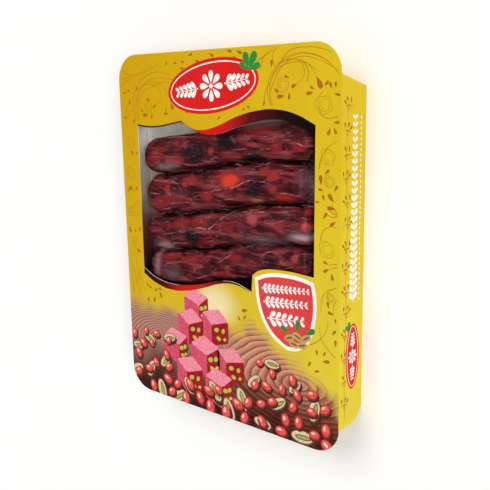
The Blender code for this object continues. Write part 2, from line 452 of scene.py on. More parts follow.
def build_carton(settings):
    """The folded board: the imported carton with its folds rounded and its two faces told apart."""
    board = settings.board
    shape = bmesh.new()
    shape.from_mesh(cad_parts["carton"].data.copy())
    bmesh.ops.remove_doubles(shape, verts=shape.verts, dist=0.00001)
    bmesh.ops.dissolve_limit(shape, angle_limit=math.radians(0.5), verts=shape.verts, edges=shape.edges)
    for face in shape.faces:
        centre, normal = face.calc_center_median(), face.normal
        in_body = abs(centre.x) < HIGH.x - board / 2 and centre.z > board / 2
        cut = abs(normal.z) < 0.5 and centre.z > HIGH.z - board * 1.01
        inner = in_body and centre.z < HIGH.z - board / 2 and not outside_wrap(centre, normal)
        face.material_index = 1 if cut or inner else 0
    materials = printed_board("varnished_yellow_board", ground_colour), inside_material(settings)
    piece = make_piece("carton_board", shape, materials, "carton", "carton")
    soften = piece.modifiers.new("soft_folds", "BEVEL")
    soften.width = settings.fold
    soften.segments = 2
    soften.limit_method = "ANGLE"
    soften.angle_limit = math.radians(40)


# How near to an end of the card a face that looks down belongs to the overhang
OVERHANG = 0.0200


def outside_wrap(centre, normal):
    """True on the printed faces of the top and foot walls and under the overhangs."""
    middle = (LOW.y + HIGH.y) / 2
    away = (centre.y - middle) * normal.y > 0 and abs(normal.y) > 0.05
    overhang = abs(centre.y - middle) > HIGH.y - OVERHANG and normal.z < -0.9
    return away or overhang


class DELIGHT_OT_carton(bpy.types.Operator):
    """Fold the yellow board carton with its wavy window"""

    bl_idname = "delight.carton"
    bl_label = "Carton"

    def execute(self, context):
        build_carton(context.scene.delight_carton)
        return {"FINISHED"}


# Scrollwork


def stem(x, y, length, turn, bend, steps=12):
    """A long stem that leaves (x, y) in one direction and bends steadily away from it."""
    points = [(x, y)]
    for _ in range(steps):
        turn += bend / steps
        points.append(placed(*points[-1], length / steps, 0, turn))
    return points


def curled(x, y, size, turn, hand, steps=24):
    """A branch that leaves (x, y) almost straight and winds up ever tighter."""
    points = [(x, y)]
    for step in range(steps):
        share = step / (steps - 1)
        turn += hand * (3 + 27 * share**1.2)
        points.append(placed(*points[-1], size * 0.17 * (1 - 0.5 * share), 0, turn))
    return points


def encloses(edge, x, y):
    """True when an outline has a point inside it."""
    inside = False
    for (x0, y0), (x1, y1) in zip(edge, edge[1:] + edge[:1]):
        if (y0 > y) != (y1 > y) and x < x0 + (y - y0) / (y1 - y0) * (x1 - x0):
            inside = not inside
    return inside


def on_panel(line, panel, margin=1.3):
    """The start of a line, up to where it leaves the panel or comes to the window."""
    wide, high, window = panel
    around = (margin, 0), (-margin, 0), (0, margin), (0, -margin)
    for index, (x, y) in enumerate(line):
        aside = abs(x - wide / 2) - wide / 2 + margin
        along = abs(y - high / 2) - high / 2 + margin
        past_corner = math.hypot(max(0, aside + CARD_CORNER), max(0, along + CARD_CORNER)) > CARD_CORNER
        shut = window and (past_corner or any(encloses(window, x + a, y + b) for a, b in around))
        if aside > 0 or along > 0 or shut:
            return line[:index]
    return line


def lay_line(shape, line, width, end, panel, order=None):
    """A line of ink, on a level that differs a little from that of the lines that it crosses."""
    line = on_panel(line, panel)
    order = len(shape.faces) % 9 if order is None else order % 13 * 0.7
    if len(line) > 3:
        lay(shape, stroke(line, width, end), 2 + 0.1 * order)


def vine(shape, panel, curl, pitch, hand, knots):
    """A wavy stem that throws a curl, two thin stems and loose petals to one side and the other."""
    line = through(knots, closed=False, steps=9)
    lay_line(shape, line, 0.55, 0.6, panel)
    travelled, taken = pitch * 0.6, []
    for before, point in zip(line, line[1:]):
        travelled += math.dist(before, point)
        if travelled < pitch:
            continue
        travelled = 0.0
        heading = math.degrees(math.atan2(point[1] - before[1], point[0] - before[0]))
        branch = curled(*point, curl, heading + hand * 22, hand)
        lay_line(shape, branch, 0.5, 0.3, panel)
        for spread in (30, 52):
            away = stem(*point, curl * (1.5 - spread / 90), heading - hand * spread, hand * 66)
            lay_line(shape, away, 0.42, 0.3, panel)
            lay_petals(shape, panel, taken, away[-1], heading - hand * spread, hand, curl)
        lay_petals(shape, panel, taken, branch[8], heading, hand, curl)
        hand = -hand


def lay_petal(shape, panel, taken, x, y, length, turn, fat=0.31, space=2.0, margin=0.2):
    """One petal that grows from (x, y), left out where it would leave the panel or meet another."""
    middle = placed(x, y, length / 2, 0, turn)
    outline = petal(x, y, length, turn, fat)
    free = all(math.dist(middle, other) > space for other in taken)
    if free and len(on_panel(outline, panel, margin)) == len(outline):
        lay(shape, outline, 3, 1)
        taken.append(middle)


def lay_petals(shape, panel, taken, point, heading, hand, curl):
    """Three loose petals that stand off from a point of a stem, clear of those already laid."""
    for spread, share in ((4, 1.0), (46, 0.8), (88, 0.62)):
        turn = heading - hand * spread
        start = placed(*point, 0.9, 0, turn)
        lay_petal(shape, panel, taken, *start, (2.5 + 0.32 * curl) * share, turn, 0.30, 2.3, 1.3)


def curl_up(shape, panel, x, y, radius):
    """A fine line that winds in, in small waves, to a third of its radius, as the petals of a rose do."""
    line = []
    for step in range(91):
        turn = 100 + step * 10
        wave = 1 + 0.07 * math.sin(4.6 * math.radians(turn) + x)
        line.append(placed(x, y, radius * (1 - 0.66 * step / 90) * wave, 0, turn))
    lay_line(shape, line, 0.38, 0.5, panel)


# Petals of the front card: (x, y, length, turn)
PETALS = (
    (133.2, 227.3, 4.4, 90), (145.8, 221.1, 3.8, 158), (151.2, 218.1, 4.6, -152), (134.6, 215.8, 4.2, -37),
    (142.7, 211.5, 5.8, -174), (145.7, 213.6, 4.4, -93), (162.3, 213.1, 5.1, -171),
    (162.9, 214.6, 3.4, 150), (164.1, 221.9, 7.8, -63), (169.2, 216.4, 4.0, 40), (174.2, 214.8, 3.6, 112),
    (176.8, 215.2, 3.4, 96), (175.6, 212.2, 4.0, -12), (110.7, 202.9, 2.6, 43), (173.4, 193.9, 4.5, -112),
    (175.6, 194.2, 4.0, -64), (175.2, 196.6, 4.2, 5), (169.7, 168.0, 4.4, 44), (167.7, 161.9, 6.0, 97),
    (169.3, 159.2, 3.8, 172), (176.2, 158.9, 4.3, 60), (176.3, 152.7, 6.2, 130), (169.9, 153.4, 3.6, 112),
    (166.7, 152.2, 3.0, 176), (177.4, 149.4, 5.8, 178), (168.9, 143.1, 4.6, 53), (177.6, 142.4, 5.0, -143),
    (172.9, 117.0, 3.9, 158), (173.4, 114.5, 4.7, -152), (174.8, 112.4, 4.5, -77), (173.2, 90.9, 4.3, 102),
    (177.0, 87.9, 4.6, 168), (178.2, 82.6, 3.2, 100), (175.6, 75.3, 4.2, 54), (178.2, 68.6, 4.4, 94),
    (165.4, 60.4, 3.8, 98), (169.6, 60.9, 3.6, 66), (168.8, 57.7, 5.5, 12), (159.0, 52.0, 4.0, 70),
    (163.0, 50.0, 4.0, 20), (30.8, 209.1, 4.2, 152), (36.5, 207.2, 4.0, -148), (20.6, 204.6, 3.6, -49),
    (28.4, 200.5, 5.8, -174), (31.5, 201.4, 3.8, -93), (49.8, 209.0, 5.8, -69), (47.7, 201.5, 4.4, -172),
    (44.6, 205.0, 2.6, -70), (8.2, 214.6, 3.4, 67), (17.9, 215.4, 3.6, 88), (9.7, 211.2, 4.0, -88),
    (12.8, 193.8, 3.8, 74), (2.4, 198.1, 3.2, 4), (3.4, 215.0, 2.8, 10), (46.1, 231.6, 3.2, 55),
    (53.4, 233.0, 3.2, -2), (58.9, 229.6, 3.8, -6), (60.2, 234.6, 3.4, -34), (11.4, 171.8, 4.6, 120),
    (14.0, 172.4, 3.2, 64), (3.6, 146.2, 4.9, 58), (8.3, 147.1, 4.0, 110), (11.4, 147.3, 3.8, 61),
    (2.4, 121.8, 5.0, -65), (7.6, 118.4, 3.2, 20), (13.4, 118.4, 4.0, 72), (14.5, 103.7, 4.8, 158),
    (24.2, 78.6, 3.8, 150), (34.5, 79.5, 3.6, 176), (20.2, 79.4, 3.4, 113), (26.6, 77.0, 4.0, 45),
    (31.5, 77.8, 5.0, -62), (27.2, 73.4, 4.6, -112), (20.6, 72.6, 4.2, -104), (112.8, 79.0, 5.6, -166),
    (111.3, 75.6, 4.0, -130), (104.0, 74.0, 3.6, -60), (85.0, 237.8, 4.2, -34), (99.0, 238.6, 4.4, -11),
    (106.8, 238.2, 5.0, -24), (126.6, 205.4, 3.4, 66), (90.2, 197.4, 3.2, 40), (103.0, 233.4, 3.6, 18),
    (67.0, 237.0, 3.9, 12), (72.4, 234.0, 3.8, -14), (62.6, 202.6, 3.0, -16), (117.2, 204.2, 3.2, 150),
    (113.6, 233.6, 3.4, 64),
)

# Stems of the front card, each through its knots, the oldest and thickest end first
STEMS = (
    ((132.6, 206), (130, 214), (132, 222), (139, 230), (148, 234), (160, 234), (172, 229), (179, 222)),
    ((133.8, 206), (132, 212), (132.6, 220), (138, 228), (146, 232.6), (156, 234), (168, 231), (178, 224)),
    ((139, 230), (146, 236), (156, 237.5), (168, 236), (174, 234)),
    ((138, 229), (145, 231), (152, 231), (159, 228), (164.1, 222)),
    ((138.6, 229.6), (146, 231.6), (153, 230), (156, 226), (155, 221), (151.4, 218.2)),
    ((127.5, 206.5), (128, 212), (131, 219)), ((136, 227), (134, 232), (135, 236), (138, 238.6)),
    ((125, 227), (128, 234), (135, 238.6)), ((158, 219), (158.6, 225), (156.4, 229), (154, 231)),
    ((120, 229), (126, 233), (133, 236), (137, 238)),
    ((131, 217), (137, 226), (147, 229.6), (157, 229), (166, 224)),
    ((132, 214), (140, 227), (152, 232.4), (165, 230.6), (175, 226)),
    ((18.2, 196), (17, 204), (18, 212), (25, 220), (36, 224), (50, 223), (57, 221)),
    ((4, 230), (10, 227), (22, 228), (34, 231), (42, 234)), ((2.4, 224), (12, 226), (24, 228)),
    ((3, 221), (11, 224), (21, 227)),
    ((18, 208), (20, 216), (25, 220.6), (35, 221.6), (44, 218), (49.8, 209.4)),
    ((23, 219.6), (32, 220), (39, 216.6), (41, 211), (36.7, 207.4)),
    ((15.4, 196), (14, 208), (20, 222), (27, 229)), ((4, 195), (9, 201), (15, 206), (18, 215)),
    ((5, 199), (8, 207), (14, 213), (17, 221)), ((18.6, 203), (22, 214), (34, 219), (46, 221.4), (58, 219)),
    ((20, 221), (28, 226), (38, 228), (50, 226)), ((3, 135), (9, 136), (15, 139.4)),
    ((3, 133), (10, 138), (14, 143)), ((3, 132), (10, 132), (15, 130)), ((3, 130), (8, 130), (12, 127)),
    ((5, 110), (8, 107), (14.3, 103.9)), ((8, 79), (7, 88), (4, 96), (4, 105)),
    ((8, 79), (10, 89), (9, 96), (10, 103)), ((12, 74), (11, 85), (13, 93)), ((4, 72), (4, 82), (3, 91)),
    ((17, 76), (14, 83), (10, 91)), ((9.5, 72), (9, 78), (6, 85)), ((5, 72), (5, 77), (3.4, 83)),
    ((178, 146), (174.4, 147.4), (171, 151)), ((178.4, 146.4), (176, 149.4), (174.8, 152)),
    ((178.6, 145.6), (175, 144.6), (172, 146)), ((178.6, 118), (176, 117.6), (173.2, 117)),
    ((178.6, 116.4), (176, 115.4), (173.6, 114.6)), ((178.4, 97), (176.4, 93), (176.8, 88.4)),
    ((166, 171), (168, 178), (173, 184), (178, 187)), ((178, 200), (172, 199), (167.6, 201), (166, 206)),
    ((167, 130), (169, 136), (174, 139), (178, 139)), ((178, 104), (172, 101), (168.4, 96), (168, 88)),
    ((178, 62), (173, 66), (168, 72), (167, 79)), ((160, 66), (166, 70), (171, 76), (173, 84)),
)

# Curls of fine line on the front card: (x, y, radius)
CURLS = (
    (141.4, 217.4, 4.6), (169.4, 206.5, 6.2), (28.7, 205.6, 4.2), (173.2, 164.4, 3.8), (172.4, 178.0, 5.2),
    (171.8, 125.6, 5.6), (174.4, 97.6, 3.0), (8.6, 181.0, 4.6), (8.0, 160.0, 4.6), (8.6, 112.0, 3.0),
)

# The vines of the side walls end short of the head of the card
SIDE_VINE_MM = CARD_HEIGHT_MM - 26

# Vines of the walls: (wall, its matrix, length, size of a curl, pitch, first side, knots)
WALL_VINES = (
    (
        "right", RIGHT_SIDE, SIDE_VINE_MM, 3.6, 12, 1,
        ((22, 19), (40, 19.6), (62, 20), (88, 18.6), (114, 20), (140, 18), (166, 20), (208, 18.6)),
    ),
    (
        "left", LEFT_SIDE, SIDE_VINE_MM, 5.5, 10, 1,
        ((20, 10), (50, 15), (80, 9), (110, 15), (140, 9), (170, 15), (205, 10)),
    ),
    (
        "head", HEAD_END, CARD_WIDTH_MM, 5.0, 10, -1,
        ((10, 13), (40, 15), (72, 11), (104, 15), (136, 11), (170, 13)),
    ),
    (
        "foot", FOOT_END, CARD_WIDTH_MM, 3.2, 10, 1,
        ((10, 19), (40, 19.6), (72, 18.4), (104, 19.6), (136, 18.4), (170, 19)),
    ),
)


class DELIGHT_OT_scrollwork(bpy.types.Operator):
    """Print the fine ochre vines and their brown petals on the front card and on the walls"""

    bl_idname = "delight.scrollwork"
    bl_label = "Scrollwork"

    def execute(self, context):
        colours = context.scene.delight_print
        inks = (
            ink_material("ochre_line_ink", colours.scroll),
            ink_material("brown_petal_ink", colours.petal),
        )
        card = CARD_WIDTH_MM, CARD_HEIGHT_MM, through(WINDOW)
        shape, taken = bmesh.new(), []
        for each in PETALS:
            lay_petal(shape, card, taken, *each)
        for order, knots in enumerate(STEMS):
            lay_line(shape, through(knots, closed=False, steps=6), 0.66, 0.45, card, order)
        for each in CURLS:
            curl_up(shape, card, *each)
        print_piece("scrollwork_front", shape, FRONT, *inks)
        for name, place, length, *growth in WALL_VINES:
            shape = bmesh.new()
            vine(shape, (length, DEPTH_MM, None), *growth)
            print_piece(f"scrollwork_{name}", shape, place, *inks)
        return {"FINISHED"}


# Window ribbons


def window_part(first, last):
    """The points of the window's cut edge between two of its knots, both counted in."""
    points = through(WINDOW)

    def nearest(knot):
        return min(range(len(points)), key=lambda i: math.dist(points[i], WINDOW[knot][:2]))

    if nearest(first) > nearest(last):
        raise RuntimeError("the window's knots don't run in order")
    return points[nearest(first) : nearest(last) + 1]


# Edges of the ribbons away from the window: over it, under it, and the lip at its upper left
TOP_RIBBON = (
    (59.0, 196.6), (66.8, 192.4), (75.5, 191.0), (89.3, 193.5), (105.5, 199.4), (121.7, 203.1),
    (135.4, 203.9), (150.3, 201.2), (163.7, 195.3),
)
FOOT_RIBBON = (
    (16.8, 89.2), (28.2, 83.8), (44.0, 81.2), (61.8, 83.5), (76.8, 88.2), (89.3, 92.6), (101.7, 94.1),
    (115.4, 91.0),
)
LIP = ((16.9, 193.8), (31.9, 192.9), (59.0, 196.8))

# Ink of the ribbons from left to right, as (millimetres across the card, colour)
HEAD_INK = (
    (18, "#240B0A"), (58, "#741014"), (78, "#D8191A"), (98, "#C31A1C"), (116, "#5A1016"), (140, "#1E0A0C"),
    (160, "#0E0707"),
)
FOOT_INK = (
    (18, "#150709"), (38, "#4B0D12"), (58, "#D21A1B"), (72, "#C11A1C"), (88, "#56121A"), (112, "#140809")
)


def ribbon_colour(tree, where, stops):
    """A gradient across the card, from red through maroon to black."""
    stops = [(place / CARD_WIDTH_MM, code) for place, code in stops]
    return add(tree, "ValToRGB", {"Fac": card_share(tree, where, ACROSS)}, stops=stops)


class DELIGHT_OT_ribbons(bpy.types.Operator):
    """Print the red ribbons along the top and the foot of the window"""

    bl_idname = "delight.ribbons"
    bl_label = "Ribbons"

    def execute(self, context):
        head = bmesh.new()
        lay(head, window_part(11, 16) + through(TOP_RIBBON, closed=False), 4)
        lay(head, window_part(16, 18) + through(LIP, closed=False), 4)
        print_piece("ribbon_head", head, FRONT, printed_board("ribbon_ink_head", ribbon_colour, HEAD_INK))
        foot, edge = bmesh.new(), window_part(0, 6)
        lay(foot, through(FOOT_RIBBON, closed=False) + edge[::-1], 4)
        # A pale line just below the window's foot edge: a painted highlight of the film's edge, laid as ink
        gleam = [(x, y - 0.3) for x, y in edge]
        lay(foot, stroke([point for point in gleam if point[0] < 52], 0.46, 0.3), 4.6, 1)
        lay(foot, stroke([point for point in gleam if point[0] > 87][::-1], 0.48, 0.25), 4.6, 1)
        dark = printed_board("ribbon_ink_foot", ribbon_colour, FOOT_INK)
        pale = ink_material("pale_edge_ink", linear("#D9CBC6"), 3.0, 0.25)
        print_piece("ribbon_foot", foot, FRONT, dark, pale)
        return {"FINISHED"}


# Badge, label and side ornament


def rosette(shape, x, y, size, level, slot, count=8, fat=0.36):
    """A round flower of petals about a small heart."""
    for step in range(count):
        turn = 360 * step / count
        start = placed(x, y, 0.18 * size, 0, turn)
        lay(shape, petal(*start, size * 0.82, turn, fat), level, slot)
    lay(shape, ellipse(x, y, size * 0.15, size * 0.15), level + 1, slot)


def spray(shape, x, y, length, turn, pairs, leaf, level, slot):
    """A straight sprig with leaves in pairs that shrink towards its tip."""
    lay(shape, stroke([(x, y), placed(x, y, length, 0, turn)], 0.9), level, slot)
    for pair in range(pairs):
        share = (pair + 0.3) / pairs
        start = placed(x, y, length * share, 0, turn)
        for side in (-1, 1):
            size = leaf * (1 - 0.45 * share)
            lay(shape, petal(*start, size, turn + side * 42, 0.34), level, slot)


def ring(shape, x, y, wide, high, width, turn, level, slot):
    """An elliptical line of ink, laid as two halves that meet."""
    outer = ellipse(x, y, wide, high, turn, 48)
    inner = ellipse(x, y, wide - width, high - width, turn, 48)
    for first in (0, 24):
        half = [index % 48 for index in range(first, first + 25)]
        lay(shape, [outer[i] for i in half] + [inner[i] for i in half[::-1]], level, slot)


# Outline of the shield label, on the front card
SHIELD = (
    (118.6, 101.4, True), (120.6, 84.6), (127.2, 70.6), (136.6, 62.4), (146.6, 59.3), (158.4, 66.0),
    (163.6, 79.0), (164.7, 94.0), (162.8, 104.6, True), (154.0, 106.4), (141.6, 106.9), (128.0, 105.2),
)

# The badge's middle, radii and turn on the front card, and the small badge's on the side wall
BADGE, BADGE_RADII, BADGE_TURN = (86, 218), (38.0, 16.5), 7
SIDE_BADGE, SIDE_RADII = (59.5, 11.0), (20.4, 7.4)

# Rows of leaves on the label: (x, y, length, pairs, length of a leaf)
LABEL_ROWS = ((124.0, 95.6, 36.0, 11, 4.4), (125.4, 87.2, 33.5, 9, 5.2), (128.2, 77.0, 28.0, 6, 7.0))

# Leaves as (x, y, length, turn) and nuts as (x, y, turn), at the foot of the label
LABEL_LEAVES = ((145.0, 70.0, 7.5, 150), (150.0, 72.0, 8.0, 75), (157.0, 71.5, 8.0, 35))
LABEL_NUTS = (
    (145.0, 67.5, 20), (151.0, 69.4, -25), (157.5, 69.6, 30), (148.5, 64.0, -10), (154.6, 64.6, 15)
)


class DELIGHT_OT_badges(bpy.types.Operator):
    """Print the oval badge on the card, the small one on the side wall and the shield label"""

    bl_idname = "delight.badges"
    bl_label = "Badges"

    def execute(self, context):
        colours = context.scene.delight_print
        inks = (
            ink_material("red_ink", colours.red, 12.0, 0.06),
            ink_material("white_ink", colours.white, 12.0, 0.02),
            ink_material("leaf_green_ink", linear("#2C8A3A"), 3.0, 0.12),
            ink_material("nutshell_ink", linear("#C39A62"), 2.0, 0.20),
            ink_material("nut_slit_ink", linear("#5E6B2C"), 2.0, 0.20),
            ink_material("label_red_ink", colours.label, 12.0, 0.06),
        )
        badge = bmesh.new()
        lay(badge, ellipse(*BADGE, *BADGE_RADII, BADGE_TURN, 56), 5)
        ring(badge, *BADGE, 35.8, 14.4, 0.8, BADGE_TURN, 6, 1)
        rosette(badge, *BADGE, 9.5, 6, 1)
        for side, turn in ((1, BADGE_TURN), (-1, BADGE_TURN + 180)):
            spray(badge, BADGE[0] + side * 11.0, BADGE[1] + side * 1.3, 19, turn, 5, 7.0, 6, 1)
        for turn, length in ((20, 9.5), (62, 12.0), (104, 11.0), (146, 8.0)):
            lay(badge, petal(116.0, 226.5, length, turn, 0.30), 8, 2)
        print_piece("badge", badge, FRONT, *inks)

        label, outline = bmesh.new(), through(SHIELD, steps=6)
        lay(label, outline, 5, 1)
        lay(label, drawn_in(outline, 2.4), 6, 5)
        for x, y, length, pairs, leaf in LABEL_ROWS:
            spray(label, x, y, length, 5, pairs, leaf, 7, 1)
        for leaf in LABEL_LEAVES:
            lay(label, petal(*leaf, 0.34), 8, 2)
        for step, (x, y, turn) in enumerate(LABEL_NUTS):
            lay(label, ellipse(x, y, 3.9, 2.3, turn, 14), 8.4 + 0.3 * step, 3)
            lay(label, ellipse(x, y, 2.7, 0.7, turn, 10), 8.5 + 0.3 * step, 4)
        print_piece("shield_label", label, FRONT, *inks)

        side = bmesh.new()
        lay(side, ellipse(*SIDE_BADGE, *SIDE_RADII, steps=48), 5)
        ring(side, *SIDE_BADGE, 19.0, 6.2, 0.5, 0, 6, 1)
        rosette(side, *SIDE_BADGE, 4.6, 6, 1)
        for sign, turn in ((1, 0), (-1, 180)):
            spray(side, SIDE_BADGE[0] + sign * 5.6, SIDE_BADGE[1], 9.0, turn, 4, 3.6, 6, 1)
        for turn, length in ((15, 6.0), (55, 6.0)):
            lay(side, petal(76.0, 14.0, length, turn, 0.32), 8, 2)
        print_piece("side_badge", side, RIGHT_SIDE, *inks)
        return {"FINISHED"}


class DELIGHT_OT_side_garland(bpy.types.Operator):
    """Print the white garland and its row of dots along the side wall"""

    bl_idname = "delight.side_garland"
    bl_label = "Side garland"

    def execute(self, context):
        garland = bmesh.new()
        spray(garland, 93, 11.3, 108, 0, 26, 6.0, 5, 0)
        for step in range(36):
            lay(garland, ellipse(94 + step * 3.0, 5.0, 0.95, 0.5, steps=8), 5)
        white = ink_material("garland_white_ink", context.scene.delight_print.white, 12.0, 0.02)
        print_piece("side_garland", garland, RIGHT_SIDE, white)
        return {"FINISHED"}


# Picture on the foot of the card

# The two cut logs, as (centre, space between rings, tones), and the pale glow above the heap, in
# millimetres on the front card
LOGS = (
    ((34, 42), 3.4, ((0.0, "#6A4238"), (0.35, "#A06F60"), (1.0, "#C49585"))),
    ((152, 38), 6.2, ((0.0, "#6E4030"), (0.30, "#B0725A"), (1.0, "#DEA080"))),
)
GLOW = (84, 78)


def from_point(tree, where, point, flatten):
    """The way from a point of the front card to a place, in metres, with heights stretched."""
    back = (-(LOW.x + point[0] * MM), -(LOW.y + point[1] * MM) * flatten, -HIGH.z)
    return add(tree, "Mapping", {"Vector": where, "Location": back, "Scale": (1.0, flatten, 1.0)})


def picture_colour(tree, where):
    """Printed picture: two cut logs with wavering growth rings that fade up into the yellow."""
    across, up = (card_share(tree, where, axis) for axis in (ACROSS, UP))
    logs = []
    for point, gap, tones in LOGS:
        wave = {"Vector": from_point(tree, where, point, 2.1), "Scale": per_mm(gap) * 2 * math.pi / 20}
        uneven = {"Distortion": 6.0, "Detail": 4.0, "Detail Scale": 0.5}
        rings = add(
            tree, "TexWave", {**wave, **uneven}, "Fac", wave_type="RINGS", rings_direction="Z",
            wave_profile="SAW",
        )
        logs.append(add(tree, "ValToRGB", {"Fac": rings}, stops=tones))
    side = add(tree, "ValToRGB", {"Fac": across}, stops=((0.50, BLACK), (0.56, WHITE)))
    wood = add(tree, "Mix", {"Factor": side, "A": logs[0], "B": logs[1]}, "Result", **BLENDED)

    cloud = add(tree, "TexNoise", {"Vector": where, "Scale": per_mm(22), "Detail": 4.0})
    ragged = add(tree, "Math", {0: cloud, 1: 0.16, 2: -0.08}, operation="MULTIPLY_ADD")
    height = add(tree, "Math", {0: up, 1: ragged}, operation="ADD")
    depths = (0.03, "#5E403C"), (0.10, "#A08884"), (0.18, WHITE)
    shade = add(tree, "ValToRGB", {"Fac": height}, stops=depths)
    shaded = add(tree, "Mix", {"Factor": 1.0, "A": wood, "B": shade}, "Result", **MULTIPLIED)

    near = add(tree, "VectorMath", {0: from_point(tree, where, GLOW, 1.3)}, "Value", operation="LENGTH")
    fall = {"Value": near, "From Min": 0.004, "From Max": 0.026, "To Min": 0.75, "To Max": 0.0}
    glow = add(tree, "MapRange", fall, interpolation_type="SMOOTHSTEP")
    pale = {"Factor": glow, "A": ground_colour(tree, where), "B": linear("#F4E7BE")}
    lit = add(tree, "Mix", pale, "Result", **BLENDED)
    drop = add(tree, "ValToRGB", {"Fac": across}, stops=((0.66, BLACK), (1.0, (0.13, 0.13, 0.13, 1))))
    raised = add(tree, "Math", {0: height, 1: drop}, operation="ADD")
    fade = add(tree, "ValToRGB", {"Fac": raised}, stops=((0.245, BLACK), (0.30, WHITE)))
    return add(tree, "Mix", {"Factor": fade, "A": shaded, "B": lit}, "Result", **BLENDED)


def on_card(points):
    """Points of an outline, kept on the card and out of its rounded lower corners."""
    made = []
    for x, y in points:
        x, y = min(CARD_WIDTH_MM, max(0.0, x)), max(0.0, y)
        centre = Vector((min(max(x, CARD_CORNER), CARD_WIDTH_MM - CARD_CORNER), max(y, CARD_CORNER)))
        reach = Vector((x, y)) - centre
        made.append(tuple(centre + reach * min(1.0, CARD_CORNER / max(reach.length, 0.001))))
    return made


def foot_area(top):
    """The card's foot with its rounded corners, closed by a smooth line from right to left."""
    steps = [90 * step / 8 for step in range(9)]
    turns = [(CARD_CORNER, 180 + step) for step in steps]
    turns += [(CARD_WIDTH_MM - CARD_CORNER, 270 + step) for step in steps]
    corners = [placed(x, CARD_CORNER, CARD_CORNER, 0, turn) for x, turn in turns]
    return corners + through(top, closed=False)


def eased(points, cut):
    """A polygon with its corners rounded off, each by a curve through three points."""
    made = []
    for index, point in enumerate(points):
        corner = Vector(point)
        start = corner + (Vector(points[index - 1]) - corner).normalized() * cut
        end = corner + (Vector(points[(index + 1) % len(points)]) - corner).normalized() * cut
        made += [tuple(start), tuple((start + end + 2 * corner) / 4), tuple(end)]
    return made


def lay_blobs(shape, x, y, size, turn, blobs):
    """Ovals of ink on one another, each (right, up, half length, half width, level, slot, points)."""
    for right, up, wide, high, level, slot, points in blobs:
        middle = x + size * right, y + size * up
        outline = on_card(ellipse(*middle, size * wide, size * high, turn, points))
        lay(shape, outline, level, slot)


# A pomegranate seed: its shadow, a dark edge, a bright red body and a pale shine
SEED = (
    (0.15, -0.25, 1.08, 0.84, 8.4, 0, 14), (0, 0, 1, 0.74, 8.8, 2, 14),
    (-0.04, 0.07, 0.84, 0.57, 9.2, 1, 14), (-0.22, 0.22, 0.36, 0.20, 9.6, 3, 8),
)

# A pistachio in its open shell: its shadow, cream halves, a dark slit and a green kernel
NUT = (
    (0.12, -0.20, 1.05, 0.60, 6.5, 0, 14), (0, 0, 1, 0.54, 6.9, 4, 16), (0, 0.03, 0.90, 0.44, 7.3, 5, 16),
    (0.08, 0, 0.70, 0.20, 7.7, 4, 12), (0.08, 0, 0.60, 0.12, 8.0, 6, 12),
)

# A cube's height to its side, how far its top is foreshortened, and the nuts in its cut face, each
# (share across, share down, size, turn)
CUBE_HEIGHT, CUBE_FLATTEN = 0.86, 0.52
CUT_NUTS = ((0.30, 0.27, 0.17, 20), (0.70, 0.38, 0.15, 60), (0.42, 0.70, 0.16, -15), (0.78, 0.78, 0.12, 30))


def lay_cube(shape, x, y, size, yaw, level):
    """A sugared cube of the sweet from above a corner: pink top and side, red cut face with nuts."""
    half = size / 2
    corners = []
    for a, b in ((-half, -half), (half, -half), (half, half), (-half, half)):
        right, up = placed(0, 0, a, b, 45 + yaw)
        corners.append(Vector((x + right, y + up * CUBE_FLATTEN)))
    down = Vector((0, -size * CUBE_HEIGHT))
    near, right, left = corners[0], corners[1], corners[3]
    lay(shape, eased(corners, size * 0.10), level + 0.2, 7)
    lay(shape, eased((left, near, near + down, left + down), size * 0.08), level, 8)
    lay(shape, eased((near, right, right + down, near + down), size * 0.08), level, 9)
    for across, fall, part, turn in CUT_NUTS:
        spot = near + (right - near) * across + down * fall
        wide = size * part
        lay(shape, ellipse(*spot, wide, wide * 0.8, turn, 12), level + 0.4, 10)
        lay(shape, ellipse(*spot, wide * 0.76, wide * 0.56, turn, 12), level + 0.7, 11)


# Cubes of the heap: (x, y, size, yaw in degrees, level of ink), from the back to the front
CUBES = (
    (67, 80, 16, 12, 2), (84, 69, 17, -16, 2.9), (61, 65, 17, -9, 2.9), (46, 48, 17, 16, 3.8),
    (74, 47, 19, 7, 3.8), (97, 45, 17, -20, 3.8), (59, 30, 18, -13, 4.7), (86, 27, 18, 14, 4.7),
)

# Loose nuts, then seeds: (ovals, how many, least space, sizes, turns), all from one seeded draw
LOOSE_SEED = 11
LOOSE_THINGS = ((NUT, 19, 14.5, (6.6, 8.8), (-80, 80)), (SEED, 46, 9.2, (3.9, 5.2), (0, 180)))

# Loose things lie to the left or the right of the heap, or below it, in millimetres on the front card
HEAP_LEFT, HEAP_RIGHT, HEAP_FOOT = 38, 116, 18
TRIES = 4000

# Inks of the picture: (name, colour, size of its unevenness in millimetres, how uneven)
PICTURE_INKS = (
    ("cast_shadow_ink", "#4A2A22", 4.0, 0.30),
    ("seed_heart_ink", "#E2554B", 2.6, 0.34),
    ("seed_edge_ink", "#AC2A28", 2.0, 0.25),
    ("seed_shine_ink", "#F9C6BE", 2.0, 0.10),
    ("shell_edge_ink", "#6B4632", 2.0, 0.25),
    ("shell_ink", "#D6C3A0", 2.0, 0.16),
    ("kernel_ink", "#A3A84A", 2.0, 0.25),
    ("sugar_top_ink", "#EE8A9C", 1.4, 0.22),
    ("sugar_side_ink", "#CF4F66", 1.4, 0.26),
    ("cut_face_ink", "#A11824", 2.4, 0.35),
    ("nut_rim_ink", "#6E2A1A", 2.0, 0.15),
    ("nut_heart_ink", "#BDB242", 1.5, 0.20),
)


